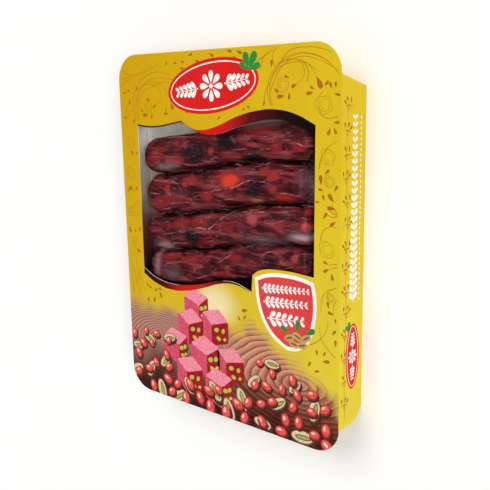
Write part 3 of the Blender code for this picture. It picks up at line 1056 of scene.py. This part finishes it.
def scattered(draw, count, space):
    """Places for loose seeds or nuts: on the logs beside the heap and over the dark foot of the card."""
    places = []
    for _ in range(TRIES):
        x, y = draw.uniform(3, CARD_WIDTH_MM - 4), draw.uniform(3, 50)
        beside = x < HEAP_LEFT + y * 0.1 or x > HEAP_RIGHT
        limit = 46 if x < 60 else 50 - max(0.0, x - 126) * 0.42
        free = all(math.dist((x, y), place) > space for place in places)
        if free and y < limit and (beside or y < HEAP_FOOT):
            places.append((x, y))
        if len(places) == count:
            break
    return places


def nearness(y):
    """How large a loose thing is drawn, as the foot of the picture is nearest to the eye."""
    return 1.16 - 0.009 * y


class DELIGHT_OT_picture(bpy.types.Operator):
    """Print the generic picture on the foot of the card: logs, sugared cubes, seeds and nuts"""

    bl_idname = "delight.picture"
    bl_label = "Picture"

    def execute(self, context):
        ground = bmesh.new()
        lay(ground, foot_area(((CARD_WIDTH_MM, 91), *FOOT_RIBBON[::-1], (0, 89))), 1)
        print_piece("picture_ground", ground, FRONT, printed_board("wood_picture_ink", picture_colour))
        inks = [ink_material(name, linear(code), size, amount) for name, code, size, amount in PICTURE_INKS]
        heap, loose = bmesh.new(), bmesh.new()
        for cube in CUBES:
            lay_cube(heap, *cube)
        print_piece("picture_cubes", heap, FRONT, *inks)
        draw = random.Random(LOOSE_SEED)
        for blobs, count, space, sizes, turns in LOOSE_THINGS:
            for x, y in scattered(draw, count, space):
                size = draw.uniform(*sizes) * nearness(y)
                lay_blobs(loose, x, y, size, draw.uniform(*turns), blobs)
        print_piece("picture_seeds", loose, FRONT, *inks)
        return {"FINISHED"}


# Sticks


def edge_height(edge, x):
    """Where the edge of a stick, or the groove between two, runs at x, as a y."""
    share = (x - STICK_LEFT) / (STICK_RIGHT - STICK_LEFT)
    wave = edge["wave"] * np.sin(2 * np.pi * (EDGE_TURNS * share + edge["phase"]))
    return edge["left"] + (edge["right"] - edge["left"]) * share + wave


def stick_span(index):
    """The left and the right end of a stick."""
    return STICK_LEFT + LEFT_SHIFTS[index], STICK_RIGHT + RIGHT_SHIFTS[index]


def stick_body(index, x):
    """The middle of a stick at x, and half its width."""
    low, high = edge_height(EDGES[index], x), edge_height(EDGES[index + 1], x)
    return (low + high) / 2, (high - low) / 2 - GAP / 2


def end_share(index, x):
    """How much of its full section a stick has at x: round at the left, cut off blunt at the right."""
    left, right = stick_span(index)
    reach = np.clip(np.minimum((x - left) / LEFT_END, (right - x) / RIGHT_END), 0.0, 1.0)
    return np.sqrt(np.maximum(0.0, 1 - (1 - reach) ** 2))


def knobs(index):
    """Where the nuts inside push a stick out, drawn as the solids draw them."""
    draw = random.Random(KNOB_SEED + index)
    left, right = stick_span(index)
    spans = (left, right), (0, 2 * math.pi), KNOB_LENGTHS, KNOB_SPREADS
    return [[draw.uniform(*span) for span in spans] for _ in range(KNOB_COUNT)]


def fullness(places, depth, x, angle):
    """How full a stick is at each place: 1 on a knob, and less by the depth away from the knobs."""
    most = np.zeros_like(x)
    for knob_x, knob_angle, along, around in places:
        turn = (angle - knob_angle + np.pi) % (2 * np.pi) - np.pi
        most = np.maximum(most, np.exp(-(((x - knob_x) / along) ** 2) - (turn / around) ** 2))
    return 1 - depth * (1 - most)


def power(value, exponent):
    """A power that keeps the sign."""
    return np.sign(value) * np.abs(value) ** exponent


def smooth(share):
    """A share from 0 to 1, eased at both ends."""
    share = np.clip(share, 0, 1)
    return share * share * (3 - 2 * share)


# Nuts and jellied patches that show through the skin, and pink patches that are painted sheen of the skin:
# (x, y, half length, half width, tone), in millimetres on the front card
PATCHES = {
    "stick_1": (
        (31, 173, 7.4, 4.6, "red"), (46, 170, 10.3, 1.6, "glow"), (48, 182, 2.9, 1.6, "glow"),
        (44, 177, 5.7, 2.9, "dark"), (66, 176, 13, 6.0, "black"), (81, 178, 2.6, 2.4, "glow"),
        (94, 184, 10.5, 5.0, "black"), (117, 192, 14, 3.8, "red"), (133, 182, 6, 3.2, "red"),
        (149, 182, 5.6, 2.8, "glow"), (147, 187, 5, 1.4, "dark"), (148, 178, 6.3, 1.8, "dark"),
        (115, 174, 11.5, 2.8, "black"),
    ),
    "stick_2": (
        (39, 151, 3.4, 3.8, "glow"), (34, 147, 4, 3, "dark"), (35, 142, 9.8, 4.4, "red"),
        (61, 158, 8.2, 2.9, "glow"), (60, 150, 5.5, 4, "dark"), (96, 160, 10.5, 5.6, "glow"),
        (96, 160, 6.6, 3.7, "orange"), (76, 148, 5.3, 3.6, "glow"), (122, 167, 5, 2.6, "glow"),
        (130, 164, 4.5, 2.4, "glow"), (115, 156, 7.6, 6.4, "black"), (116, 148, 5.4, 1.4, "nut"),
        (131, 157, 3, 1.8, "glow"), (138, 151, 6.9, 3.8, "orange_soft"), (140, 162, 2.2, 1.8, "red"),
        (152, 165, 6.3, 5.7, "dusk"), (125, 151, 3.8, 3, "dark"),
    ),
    "stick_3": (
        (50, 128, 8.6, 2.8, "red"), (67, 130, 10, 3, "red"), (43, 120, 8.8, 4.9, "dark"),
        (62, 120, 8, 5.4, "black"), (94, 129, 5, 2.8, "red"), (94, 122, 5.1, 3.3, "dark"),
        (76, 115, 2.6, 1.6, "glow"), (114, 137, 4.3, 4, "pink"), (106, 130, 4.1, 3.2, "dusk"),
        (121, 131, 3.1, 2.5, "dark"), (130, 140, 6.1, 2.4, "dark"), (155, 145, 3.5, 2.9, "glow"),
        (154, 136, 2.8, 2.4, "pink"), (147, 133, 5.8, 2.4, "dusk"),
    ),
    "stick_4": (
        (38, 103, 8, 2.4, "red"), (39, 93, 6.9, 4.4, "dark"), (59, 104, 11.2, 2.8, "red"),
        (73, 97, 5.4, 2.8, "dark"), (87, 98, 7, 2.7, "red"), (112, 115, 4.9, 3.2, "dark"),
        (128, 112, 6.2, 4.0, "black"), (99, 110, 6.7, 2.7, "red"), (146, 116, 3, 2.4, "pink"),
        (152, 115, 3.6, 2.4, "dark"),
    ),
}
TONES = {
    "red": ("#852222", 0.85),
    "glow": ("#9E2B25", 0.82),
    "orange": ("#D23C1E", 1.0),
    "orange_soft": ("#B03020", 0.9),
    "pink": ("#B84648", 0.8),
    "dusk": ("#5A333C", 0.8),
    "dark": ("#30141A", 0.85),
    "black": ("#160E15", 0.98),
    "nut": ("#C2862F", 1.0),
}

# The sticks' slant on the card
SLANT_DEG = 7.0


def patch_reach(x, y, centre_x, centre_y, long, wide, lean_deg):
    """How far from the middle of a slanted oval patch each place lies, as a share of its radii."""
    lean = math.radians(lean_deg)
    along = (x - centre_x) * math.cos(lean) + (y - centre_y) * math.sin(lean)
    aside = (y - centre_y) * math.cos(lean) - (x - centre_x) * math.sin(lean)
    return np.sqrt((along / long) ** 2 + (aside / wide) ** 2)


def paint_patches(name, places, side, base):
    """The colour of each point of a stick: its gel with the patches blended in, and painted shade in the
    grooves, most on the lower side.

    The side runs from -1 at the lower groove to 1 at the upper. The fourth number is the plain gel's share.
    """
    colours = np.tile(np.array([*base[:3], 1.0]), (len(places), 1))
    x = (places[:, 0] - LOW.x) / MM
    y = (places[:, 1] - LOW.y) / MM
    ragged = np.array([noise.noise(Vector(p) * per_mm(3.5)) for p in places])
    upper = places[:, 2] > STICK_TOP * 0.35
    for *oval, tone in PATCHES[name]:
        code, strength = TONES[tone]
        reach = patch_reach(x, y, *oval, SLANT_DEG) + 0.28 * ragged
        share = (strength * smooth((1.35 - reach) / 0.85) * upper)[:, None]
        colours = colours * (1 - share) + np.array([*linear(code)[:3], 0.0]) * share
    # Painted shade: darker towards the grooves between the sticks, and more on each stick's lower side
    groove = np.maximum(smooth((side - 0.84) / 0.16), smooth((-side - 0.62) / 0.34))
    colours[:, :3] *= (1 - 0.85 * groove)[:, None]
    return colours


def along_sticks(tree, where, scale):
    """Places turned to the sticks' slant, so that a pattern can be drawn out along them."""
    turn = (0, 0, -math.radians(SLANT_DEG))
    return add(tree, "Mapping", {"Vector": where, "Rotation": turn, "Scale": scale})


def gel_material(settings):
    """Set starch gel with pomegranate: dark, wet and a little see-through, under a tight skin."""
    material, tree, where, shader = new_material("pomegranate_gel")
    painted = add(tree, "Attribute", {}, "Color", attribute_name="patches")
    plain = add(tree, "Attribute", {}, "Alpha", attribute_name="patches")
    stretched = add(tree, "Mapping", {"Vector": where, "Scale": (0.6, 1.0, 1.0)})
    clouded = {"Vector": stretched, "Scale": per_mm(7), "Detail": 5.0, "Roughness": 0.62}
    tones = (0.36, (0.24, 0.26, 0.34, 1)), (0.50, (0.80, 0.84, 0.90, 1)), (0.64, (1.9, 1.6, 1.5, 1))
    shade = add(tree, "ValToRGB", {"Fac": add(tree, "TexNoise", clouded)}, stops=tones)
    flesh = add(tree, "Mix", {"Factor": plain, "A": painted, "B": shade}, "Result", **MULTIPLIED)
    # Paler streaks along the sticks: partly starch dust and partly painted sheen of the tight skin
    drawn = {"Vector": along_sticks(tree, where, (0.17, 1.0, 0.8)), "Scale": per_mm(3.4), "Detail": 2.0}
    streaks = add(tree, "TexNoise", {**drawn, "Roughness": 0.4, "Distortion": 0.5})
    starch_and_sheen_streaks = add(tree, "ValToRGB", {"Fac": streaks}, stops=((0.48, BLACK), (0.70, WHITE)))
    most = add(tree, "Math", {0: plain, 1: 0.58, 2: 0.06}, operation="MULTIPLY_ADD")
    share = add(tree, "Math", {0: starch_and_sheen_streaks, 1: most}, operation="MULTIPLY")
    skin = {"Factor": share, "A": flesh, "B": settings.starch_and_sheen}
    feed(
        shader,
        {
            "Base Color": add(tree, "Mix", skin, "Result", **BLENDED),
            "Roughness": 0.50,
            "IOR": 1.42,
            "Specular IOR Level": 0.08,
            "Subsurface Weight": 0.35,
            "Subsurface Radius": (1.0, 0.22, 0.16),
            "Subsurface Scale": 0.003,
            "Normal": add(tree, "Bump", {"Height": streaks, "Strength": 0.7, "Distance": 0.0014}),
        },
    )
    return material


# Points round a stick and rings along it, and how many rings each rounded end takes
STICK_AROUND = 110
STICK_ALONG = 240
END_RINGS = 26


def ring_places():
    """Where each ring lies along a stick, from 0 to 1: close together at both ends."""
    left_tip, right_tip = (end / (STICK_RIGHT - STICK_LEFT) for end in (LEFT_END, RIGHT_END))
    rings = np.arange(STICK_ALONG + 1)
    start = left_tip * (1 - np.cos(np.pi / 2 * np.minimum(rings, END_RINGS) / END_RINGS))
    from_end = np.minimum(STICK_ALONG - rings, END_RINGS)
    end = right_tip * np.cos(np.pi / 2 * from_end / END_RINGS)
    body = 1 - left_tip - right_tip
    return start + body * np.clip((rings - END_RINGS) / (STICK_ALONG - 2 * END_RINGS), 0, 1) + end


def wrinkle(x, angle, index):
    """How deep the skin is drawn in at a place, from 0 to 1: long furrows with finer ones between."""
    turn = Vector((0, math.cos(angle), math.sin(angle)))
    furrow = noise.noise(Vector((x * 55, 0, 7 * index)) + turn * 4.5)
    fine = noise.noise(Vector((x * 160, 5, 7 * index)) + turn * 14)
    return 0.5 + 0.4 * furrow + 0.2 * fine


def move_to(verts, x, y, z):
    """Moves points to their places, and gives the places as rows."""
    places = np.stack((x, y, z), axis=1)
    for vert, place in zip(verts, places):
        vert.co = place
    return places


def build_stick(index, settings, board, material):
    """One stick, as fine as the camera needs, with knobs over its nuts and wrinkles along it."""
    name = STICK_NAMES[index]
    shape = bmesh.new()
    bmesh.ops.create_uvsphere(shape, u_segments=STICK_AROUND, v_segments=STICK_ALONG, radius=1.0)
    unit = np.array([vert.co for vert in shape.verts])
    polar = np.arccos(np.clip(-unit[:, 2], -1, 1))
    rings = np.rint(polar / np.pi * STICK_ALONG).astype(int)
    angle = np.arctan2(unit[:, 1], unit[:, 0])
    left, right = stick_span(index)
    x = left + (right - left) * ring_places()[rings]
    centre, half_width = stick_body(index, x)
    wrinkles = np.array([wrinkle(a, b, index) for a, b in zip(x, angle)])
    full = fullness(knobs(index), settings.knob_depth, x, angle)
    full = full * (1 - settings.wrinkle / half_width * np.clip(wrinkles, 0, 1))
    share = end_share(index, x)
    floor = board + GAP
    half_height = (STICK_TOP - floor) / 2
    across = share * (1 - PRESSED * (1 - full)) * power(np.cos(angle), 2 / ROUND_POWER)
    y = centre + half_width * across
    z = floor + half_height * (1 + share * full * power(np.sin(angle), 2 / ROUND_POWER))
    places = move_to(shape.verts, x, y, z)
    piece = make_piece(f"{name}_gel", shape, (material,), "delight", name, smooth=True)
    painted = piece.data.color_attributes.new("patches", "FLOAT_COLOR", "POINT")
    colours = paint_patches(name, places, np.cos(angle), settings.gel)
    painted.data.foreach_set("color", colours.ravel())


class DELIGHT_OT_sticks(bpy.types.Operator):
    """Make the knobbly sticks of pomegranate gel with the nuts that show through"""

    bl_idname = "delight.sticks"
    bl_label = "Sticks"

    def execute(self, context):
        settings = context.scene.delight_sweets
        material = gel_material(settings)
        for index in range(len(STICK_NAMES)):
            build_stick(index, settings, context.scene.delight_carton.board, material)
        return {"FINISHED"}


# Film

# The film's edges, the height of its rim, how far past the sticks it takes to fall there, its height
# in the grooves, how far round a point it feels for the sticks, and its grid
FILM_LEFT = -0.0855
FILM_RIGHT = 0.0755
FILM_LOW = -0.0480
FILM_HIGH = 0.0870
FILM_RIM = 0.0060
FILM_FALL = 0.0085
GROOVE_LEVEL = 0.0165
FILM_REACH = 0.0006
FILM_COLUMNS = 236
FILM_ROWS = 204

# Where the film clings in many small folds and looks hazy, its milky patches partly painted sheen and
# highlight: (x, y, half length, half width, share), in millimetres on the front card
HAZES_AND_SHEEN = (
    (151, 129.5, 7.5, 2.2, 0.60), (34, 110.5, 7.5, 2.2, 0.45), (28, 97, 2.4, 9.0, 0.20),
    (40, 91, 9.0, 5.0, 0.07), (122, 196, 20, 2.0, 0.25), (156, 160, 4.0, 9, 0.08),
    (40, 166, 8.0, 2.4, 0.22), (159.5, 118, 1.2, 9.0, 0.25), (120, 124, 14, 3.0, 0.12),
    (24, 186, 5.0, 3.5, 0.10), (44, 189, 6.0, 2.0, 0.14),
)

# Folds of the film, whose white is a painted glint: (width, share of white, knots), in millimetres on the
# front card
FOLDS = (
    (1.5, 0.7, ((33, 184), (41, 185), (55, 186), (70, 186))), (1.0, 0.8, ((80, 186), (86, 186))),
    (1.1, 0.6, ((33, 169), (51, 169), (65, 168), (80, 171), (86, 171))),
    (0.9, 0.5, ((94, 188), (118, 188), (140, 188), (154, 188))),
    (1.7, 0.8, ((144, 184), (148, 185), (154, 183), (161, 184))),
    (0.9, 0.6, ((100, 175), (110, 177), (117, 178))), (0.9, 0.6, ((137, 176), (152, 175), (160, 175))),
    (0.9, 0.9, ((126, 185), (133, 185))),
    (1.2, 0.8, ((57, 144), (77, 151), (100, 156), (113, 161), (120, 161), (134, 159))),
    (1.2, 0.8, ((29, 152), (33, 155), (39, 156), (48, 155), (53, 152))),
    (1.2, 0.7, ((39, 150), (43, 147), (43, 144))),
    (1.2, 0.8, ((126, 154), (134, 155), (141, 155), (151, 154))),
    (1.0, 0.8, ((85, 146), (95, 148), (103, 149))),
    (1.2, 0.6, ((24, 130), (36, 134), (51, 134), (69, 138))),
    (1.6, 0.8, ((47, 119), (61, 125), (69, 127), (77, 127), (86, 133), (93, 138), (105, 143))),
    (2.2, 0.7, ((23, 110), (35, 111), (42, 113), (48, 114))), (1.0, 0.6, ((28, 123), (30, 120), (33, 115))),
    (2.4, 0.6, ((83, 122), (89, 125), (94, 126))),
    (1.3, 0.7, ((102, 137), (114, 141), (135, 143), (159, 149))),
    (1.0, 0.7, ((92, 138), (113, 142), (123, 145))), (1.4, 0.8, ((125, 136), (131, 136), (142, 140))),
    (2.0, 0.6, ((137, 131), (142, 133), (147, 136))), (1.1, 0.5, ((102, 129), (106, 128), (116, 126))),
    (1.1, 0.7, ((35, 97), (40, 99), (46, 99))), (2.2, 0.7, ((61, 96), (66, 99), (73, 101))),
    (1.2, 0.6, ((81, 104), (88, 107), (92, 110), (99, 113))),
    (1.2, 0.5, ((77, 94), (82, 100), (89, 103), (104, 107))),
    (1.2, 0.7, ((119, 111), (123, 116), (128, 118), (135, 118), (145, 122))),
    (1.8, 0.6, ((143, 115), (148, 117))), (1.0, 0.6, ((135, 108), (150, 112), (159, 113))),
    (1.2, 0.5, ((92, 114), (107, 118), (119, 121))),
    (1.0, 0.5, ((30, 103), (46, 106), (60, 108), (69, 111))),
)

# A fold's height to its width, its points between knots, and how many small folds one seed draws
FOLD_RISE = 0.25
FOLD_STEPS = 8
SMALL_FOLDS = 85
FOLD_SEED = 7


def stick_cover(settings, board, x, y):
    """The height of the sticks at each (x, y), with their knobs, or 0 beside them."""
    floor = board + GAP
    half_height = (STICK_TOP - floor) / 2
    most = np.zeros_like(x)
    for index in range(len(STICK_NAMES)):
        centre, half_width = stick_body(index, x)
        share = np.maximum(end_share(index, x), 1e-6)
        aside = np.clip((y - centre) / (half_width * share), -1, 1)
        rise = (1 - np.abs(aside) ** ROUND_POWER) ** (1 / ROUND_POWER)
        angle = np.arctan2(power(rise, ROUND_POWER / 2), power(aside, ROUND_POWER / 2))
        full = fullness(knobs(index), settings.knob_depth, x, angle)
        inner = np.abs(aside) / (1 - PRESSED * (1 - full))
        rise = np.maximum(0, 1 - inner**ROUND_POWER) ** (1 / ROUND_POWER)
        height = floor + half_height * (1 + share * full * rise)
        on_it = (inner < 1) & (end_share(index, x) > 0.01)
        most = np.maximum(most, np.where(on_it, height, 0))
    return most


def film_height(sweets, film, board, x, y):
    """The height of the film at each (x, y): its rim, the grooves or the sticks that hold it up."""
    beside = y - edge_height(EDGES[0], x), edge_height(EDGES[-1], x) - y
    inside = np.minimum.reduce((x - STICK_LEFT, STICK_RIGHT - x, *beside))
    level = FILM_RIM + (GROOVE_LEVEL - FILM_RIM) * smooth(1 + inside / FILM_FALL)
    around = [(across * FILM_REACH, up * FILM_REACH) for across in (-1, 0, 1) for up in (-1, 0, 1)]
    cover = np.maximum.reduce([stick_cover(sweets, board, x + a, y + b) for a, b in around])
    return np.maximum(level, cover + film.clearance)


def haze_share(x_mm, y_mm):
    """How hazy the film is at each place, from 0 to 1."""
    most = np.zeros_like(x_mm)
    for centre_x, centre_y, long, wide, share in HAZES_AND_SHEEN:
        lean_deg = SLANT_DEG if long > wide else 0.0
        reach = patch_reach(x_mm, y_mm, centre_x, centre_y, long, wide, lean_deg)
        most = np.maximum(most, share * np.exp(-(reach**2)))
    return most


def film_material():
    """Clear shrink film: glints where it is drawn into wrinkles, and a milky haze where it clings, in
    places a painted sheen.
    """
    material, tree, where, shader = new_material("clear_shrink_film", "MixShader")
    slant = along_sticks(tree, where, (0.22, 1.0, 0.5))
    drawn = {"Vector": slant, "Scale": per_mm(3.0), "Detail": 1.5, "Distortion": 0.4}
    wrinkles = add(tree, "TexNoise", drawn)
    streaks = {"Value": wrinkles, "From Min": 0.35, "From Max": 0.65, "To Min": 0.45, "To Max": 1.0}
    hazy = add(tree, "Attribute", {}, "Fac", attribute_name="haze")
    veiled = add(tree, "Math", {0: hazy, 1: add(tree, "MapRange", streaks)}, operation="MULTIPLY")

    # Fine creases run where a swirling pattern passes its middle value, in some patches only; their milky
    # white is partly a painted glint
    swirling = {"Vector": slant, "Scale": per_mm(3.6), "Detail": 1.6, "Distortion": 0.6}
    off_line = add(tree, "Math", {0: add(tree, "TexNoise", swirling), 1: 0.5}, operation="SUBTRACT")
    distance = add(tree, "Math", {0: off_line}, operation="ABSOLUTE")
    lines = {"Value": distance, "From Min": 0.0, "From Max": 0.034, "To Min": 1.0, "To Max": 0.0}
    patchy = add(tree, "TexNoise", {"Vector": where, "Scale": per_mm(7), "Detail": 2.0})
    parts = {"Value": patchy, "From Min": 0.46, "From Max": 0.62, "To Min": 0.0, "To Max": 0.07}
    creased = {0: add(tree, "MapRange", lines), 1: add(tree, "MapRange", parts), 2: veiled}
    milk_and_glint = add(tree, "Math", creased, operation="MULTIPLY_ADD")

    normal = add(tree, "Bump", {"Height": wrinkles, "Strength": 0.5, "Distance": 0.0005})
    clear = add(tree, "BsdfTransparent", {})
    milky = add(tree, "BsdfDiffuse", {"Color": linear("#DDB9C2"), "Normal": normal})
    shine = add(tree, "BsdfAnisotropic", {"Color": (1, 1, 1, 1), "Roughness": 0.15, "Normal": normal})
    facing = add(tree, "LayerWeight", {"Blend": 0.5, "Normal": normal}, "Facing")
    grazing = add(tree, "Math", {0: facing, 1: 5.0}, operation="POWER")
    edge = add(tree, "Math", {0: grazing, 1: 0.05, 2: 0.0016}, operation="MULTIPLY_ADD")
    feed(shader, {0: edge, 1: add(tree, "MixShader", {0: milk_and_glint, 1: clear, 2: milky}), 2: shine})
    return material


def fold_glint_material():
    """Film folded on itself: two more skins and the air between them, milky with the red behind, and paler
    where a painted glint stands for the fold's shine.
    """
    material, tree, where, shader = new_material("folded_film")
    thick = add(tree, "Attribute", {}, "Fac", attribute_name="fold")
    broken = add(tree, "TexNoise", {"Vector": where, "Scale": per_mm(3.6), "Detail": 3.0})
    parts = {"Value": broken, "From Min": 0.42, "From Max": 0.6, "To Min": 0.08, "To Max": 0.68}
    share = add(tree, "MapRange", parts)
    feed(
        shader,
        {
            "Base Color": add(tree, "ValToRGB", {"Fac": thick}, stops=((0.2, "#A53F48"), (0.8, "#DD9DA2"))),
            "Roughness": 0.28,
            "Specular IOR Level": 0.4,
            "Alpha": add(tree, "Math", {0: thick, 1: share}, operation="MULTIPLY"),
        },
    )
    return material


def small_folds():
    """Short fine folds that run along the sticks, their pale share a painted glint, as (width, share,
    knots) in millimetres.
    """
    draw = random.Random(FOLD_SEED)
    folds = []
    for _ in range(SMALL_FOLDS):
        x, y = draw.uniform(20, 156), draw.uniform(92, 190)
        length, wave = draw.uniform(6, 24), draw.uniform(0.5, 2.1)
        slope = math.tan(math.radians(SLANT_DEG)) + draw.uniform(-0.10, 0.14)
        steps = [length * step / 3 for step in range(4)]
        knots = [(x + along, y + slope * along + draw.uniform(-wave, wave)) for along in steps]
        folds.append((draw.uniform(0.8, 1.7), draw.uniform(0.26, 0.62), knots))
    return folds


def film_piece(name, shape, material, label, values, thickness):
    """A smooth piece of film with one value at each of its points, and its wall on the outside."""
    piece = make_piece(name, shape, (material,), "film", "film", smooth=True)
    piece.data.attributes.new(label, "FLOAT", "POINT").data.foreach_set("value", values)
    wall = piece.modifiers.new("wall", "SOLIDIFY")
    wall.thickness = thickness
    wall.offset = 1.0


def build_folds(sweets, film, board):
    """Raised folds as tapered strips that lie on the film."""
    shape = bmesh.new()
    shares = []
    for width, white, knots in (*FOLDS, *small_folds()):
        line = np.array(through(knots, closed=False, steps=FOLD_STEPS))
        along = np.gradient(line, axis=0)
        along /= np.linalg.norm(along, axis=1)[:, None]
        steps = len(line) - 1
        verts = bmesh.ops.create_grid(shape, x_segments=steps, y_segments=4, size=1.0)["verts"]
        unit = np.array([vert.co for vert in verts])
        index = np.rint((unit[:, 0] + 1) / 2 * steps).astype(int)
        aside = unit[:, 1]
        taper = np.sin(np.pi * (0.06 + 0.88 * index / steps)) ** 0.6
        x = line[index, 0] - along[index, 1] * aside * width * 0.4 * taper
        y = line[index, 1] + along[index, 0] * aside * width * 0.4 * taper
        x, y = LOW.x + x * MM, LOW.y + y * MM
        ridge = 1 - aside**2
        z = film_height(sweets, film, board, x, y) + film.thickness
        move_to(verts, x, y, z + FOLD_RISE * MM * width * taper * ridge)
        shares.append(white * taper * ridge**1.2)
    film_piece("film_folds", shape, fold_glint_material(), "fold", np.concatenate(shares), film.thickness)


def build_film(sweets, film, board):
    """The film itself, as one closed sheet drawn over the sticks."""
    shape = bmesh.new()
    bmesh.ops.create_grid(shape, x_segments=FILM_COLUMNS, y_segments=FILM_ROWS, size=1.0)
    unit = np.array([vert.co for vert in shape.verts])
    x = FILM_LEFT + (FILM_RIGHT - FILM_LEFT) * (unit[:, 0] + 1) / 2
    y = FILM_LOW + (FILM_HIGH - FILM_LOW) * (unit[:, 1] + 1) / 2
    slope = math.tan(math.radians(SLANT_DEG))
    cells = [Vector((a * 30, (b - slope * a) * 210, 3.0)) for a, b in zip(x, y)]
    wrinkles = np.array([1 - 2 * abs(noise.noise(cell)) for cell in cells])
    z = film_height(sweets, film, board, x, y)
    move_to(shape.verts, x, y, z + film.crease * np.clip((wrinkles - 0.4) / 0.6, 0, 1) ** 2)
    haze = haze_share((x - LOW.x) / MM, (y - LOW.y) / MM)
    film_piece("shrink_film", shape, film_material(), "haze", haze, film.thickness)


class DELIGHT_OT_film(bpy.types.Operator):
    """Draw the clear film tight over the sticks, with its folds and hazy patches"""

    bl_idname = "delight.film"
    bl_label = "Film"

    def execute(self, context):
        scene = context.scene
        parts = scene.delight_sweets, scene.delight_film, scene.delight_carton.board
        build_film(*parts)
        build_folds(*parts)
        return {"FINISHED"}


# Stage


def floor_material(settings):
    """Seamless studio paper: matt and plain, with only the faintest unevenness."""
    material, tree, where, shader = new_material("studio_paper")
    colour = tinted(tree, where, settings.floor_colour, 60.0, 0.006)
    feed(shader, {"Base Color": colour, "Roughness": 0.9, "Specular IOR Level": 0.1})
    return material


# The camera's place from the middle of the front card, and its tip, swing and roll in radians
CAMERA_PLACE = (0.2987, 0.0922, 0.3301)
CAMERA_TURN = (0.2083, 0.6998, -0.0174)

# Softboxes: (name, direction from the pack, width as an angle in degrees, setting of its strength)
SOFTBOXES = (
    ("key_softbox", (0.74, 0.06, 0.67), 32, "key"),
    ("fill_softbox", (-0.15, 0.60, 0.78), 45, "fill"),
)


def camera_turn():
    """The camera's axes, from the three angles at which the photograph sees the front card."""
    tip, swing, roll = CAMERA_TURN
    turn = Matrix.Rotation(roll, 3, "Z") @ Matrix.Rotation(tip, 3, "X") @ Matrix.Rotation(swing, 3, "Y")
    right = Vector((turn[0][0], -turn[0][1], -turn[0][2]))
    up, back = (Vector((-row[0], row[1], row[2])) for row in (turn[1], turn[2]))
    return Matrix((right, up, back)).transposed()


def softbox(name, towards, spread_deg, strength):
    """A far softbox, as wide as this angle, in this direction from the pack."""
    light = bpy.data.lights.new(name, "SUN")
    light.energy = strength
    light.angle = math.radians(spread_deg)
    holder = bpy.data.objects.new(name, light)
    holder.rotation_euler = Vector(towards).to_track_quat("Z", "Y").to_euler()
    bpy.context.scene.collection.objects.link(holder)


class DELIGHT_OT_stage(bpy.types.Operator):
    """Set up the pale floor, the soft studio light and the camera"""

    bl_idname = "delight.stage"
    bl_label = "Stage"

    def execute(self, context):
        scene = context.scene
        settings = scene.delight_stage
        shape = bmesh.new()
        bmesh.ops.create_grid(shape, x_segments=8, y_segments=8, size=settings.floor / 2)
        mesh = bpy.data.meshes.new("studio_floor")
        shape.to_mesh(mesh)
        shape.free()
        mesh.materials.append(floor_material(settings))
        floor = bpy.data.objects.new("studio_floor", mesh)
        scene.collection.objects.link(floor)

        world = bpy.data.worlds.new("studio")
        scene.world = world
        world.use_nodes = True
        sky = world.node_tree.nodes["Background"]
        sky.inputs["Color"].default_value = (1, 1, 1, 1)
        sky.inputs["Strength"].default_value = settings.sky
        for name, towards, spread_deg, strength in SOFTBOXES:
            softbox(name, towards, spread_deg, getattr(settings, strength))

        lens = bpy.data.cameras.new("camera")
        lens.sensor_width = 36.0
        lens.lens = settings.lens
        lens.clip_start = 0.01
        camera = bpy.data.objects.new("camera", lens)
        place = Vector(CAMERA_PLACE) + Vector((0, 0, HIGH.z))
        camera.matrix_world = Matrix.Translation(place) @ camera_turn().to_4x4()
        scene.collection.objects.link(camera)
        scene.camera = camera
        scene.view_settings.view_transform = "Standard"
        return {"FINISHED"}


class DELIGHT_PT_panel(bpy.types.Panel):
    """The pack's pieces, each with the button that makes it"""

    bl_label = "Turkish Delight Pack"
    bl_idname = "DELIGHT_PT_panel"
    bl_space_type = "VIEW_3D"
    bl_region_type = "UI"
    bl_category = "Sweets"

    def draw(self, context):
        for operator in OPERATORS:
            self.layout.operator(operator.bl_idname)
        for name, group in GROUPS.items():
            settings = getattr(context.scene, name)
            box = self.layout.box()
            for field in group.__annotations__:
                box.prop(settings, field)


OPERATORS = (
    DELIGHT_OT_carton,
    DELIGHT_OT_scrollwork,
    DELIGHT_OT_ribbons,
    DELIGHT_OT_badges,
    DELIGHT_OT_side_garland,
    DELIGHT_OT_picture,
    DELIGHT_OT_sticks,
    DELIGHT_OT_film,
    DELIGHT_OT_stage,
)
CLASSES = (*GROUPS.values(), *OPERATORS, DELIGHT_PT_panel)


def register():
    """Make the settings, the operators and the panel known."""
    for item in CLASSES:
        bpy.utils.register_class(item)
    for name, group in GROUPS.items():
        setattr(bpy.types.Scene, name, bpy.props.PointerProperty(type=group))


def unregister():
    """Take them away again, the last one first."""
    for name in GROUPS:
        delattr(bpy.types.Scene, name)
    for item in reversed(CLASSES):
        bpy.utils.unregister_class(item)


def main():
    """Build every piece in order."""
    register()
    for operator in OPERATORS:
        group, name = operator.bl_idname.split(".")
        getattr(getattr(bpy.ops, group), name)()


if __name__ == "__main__":
    main()
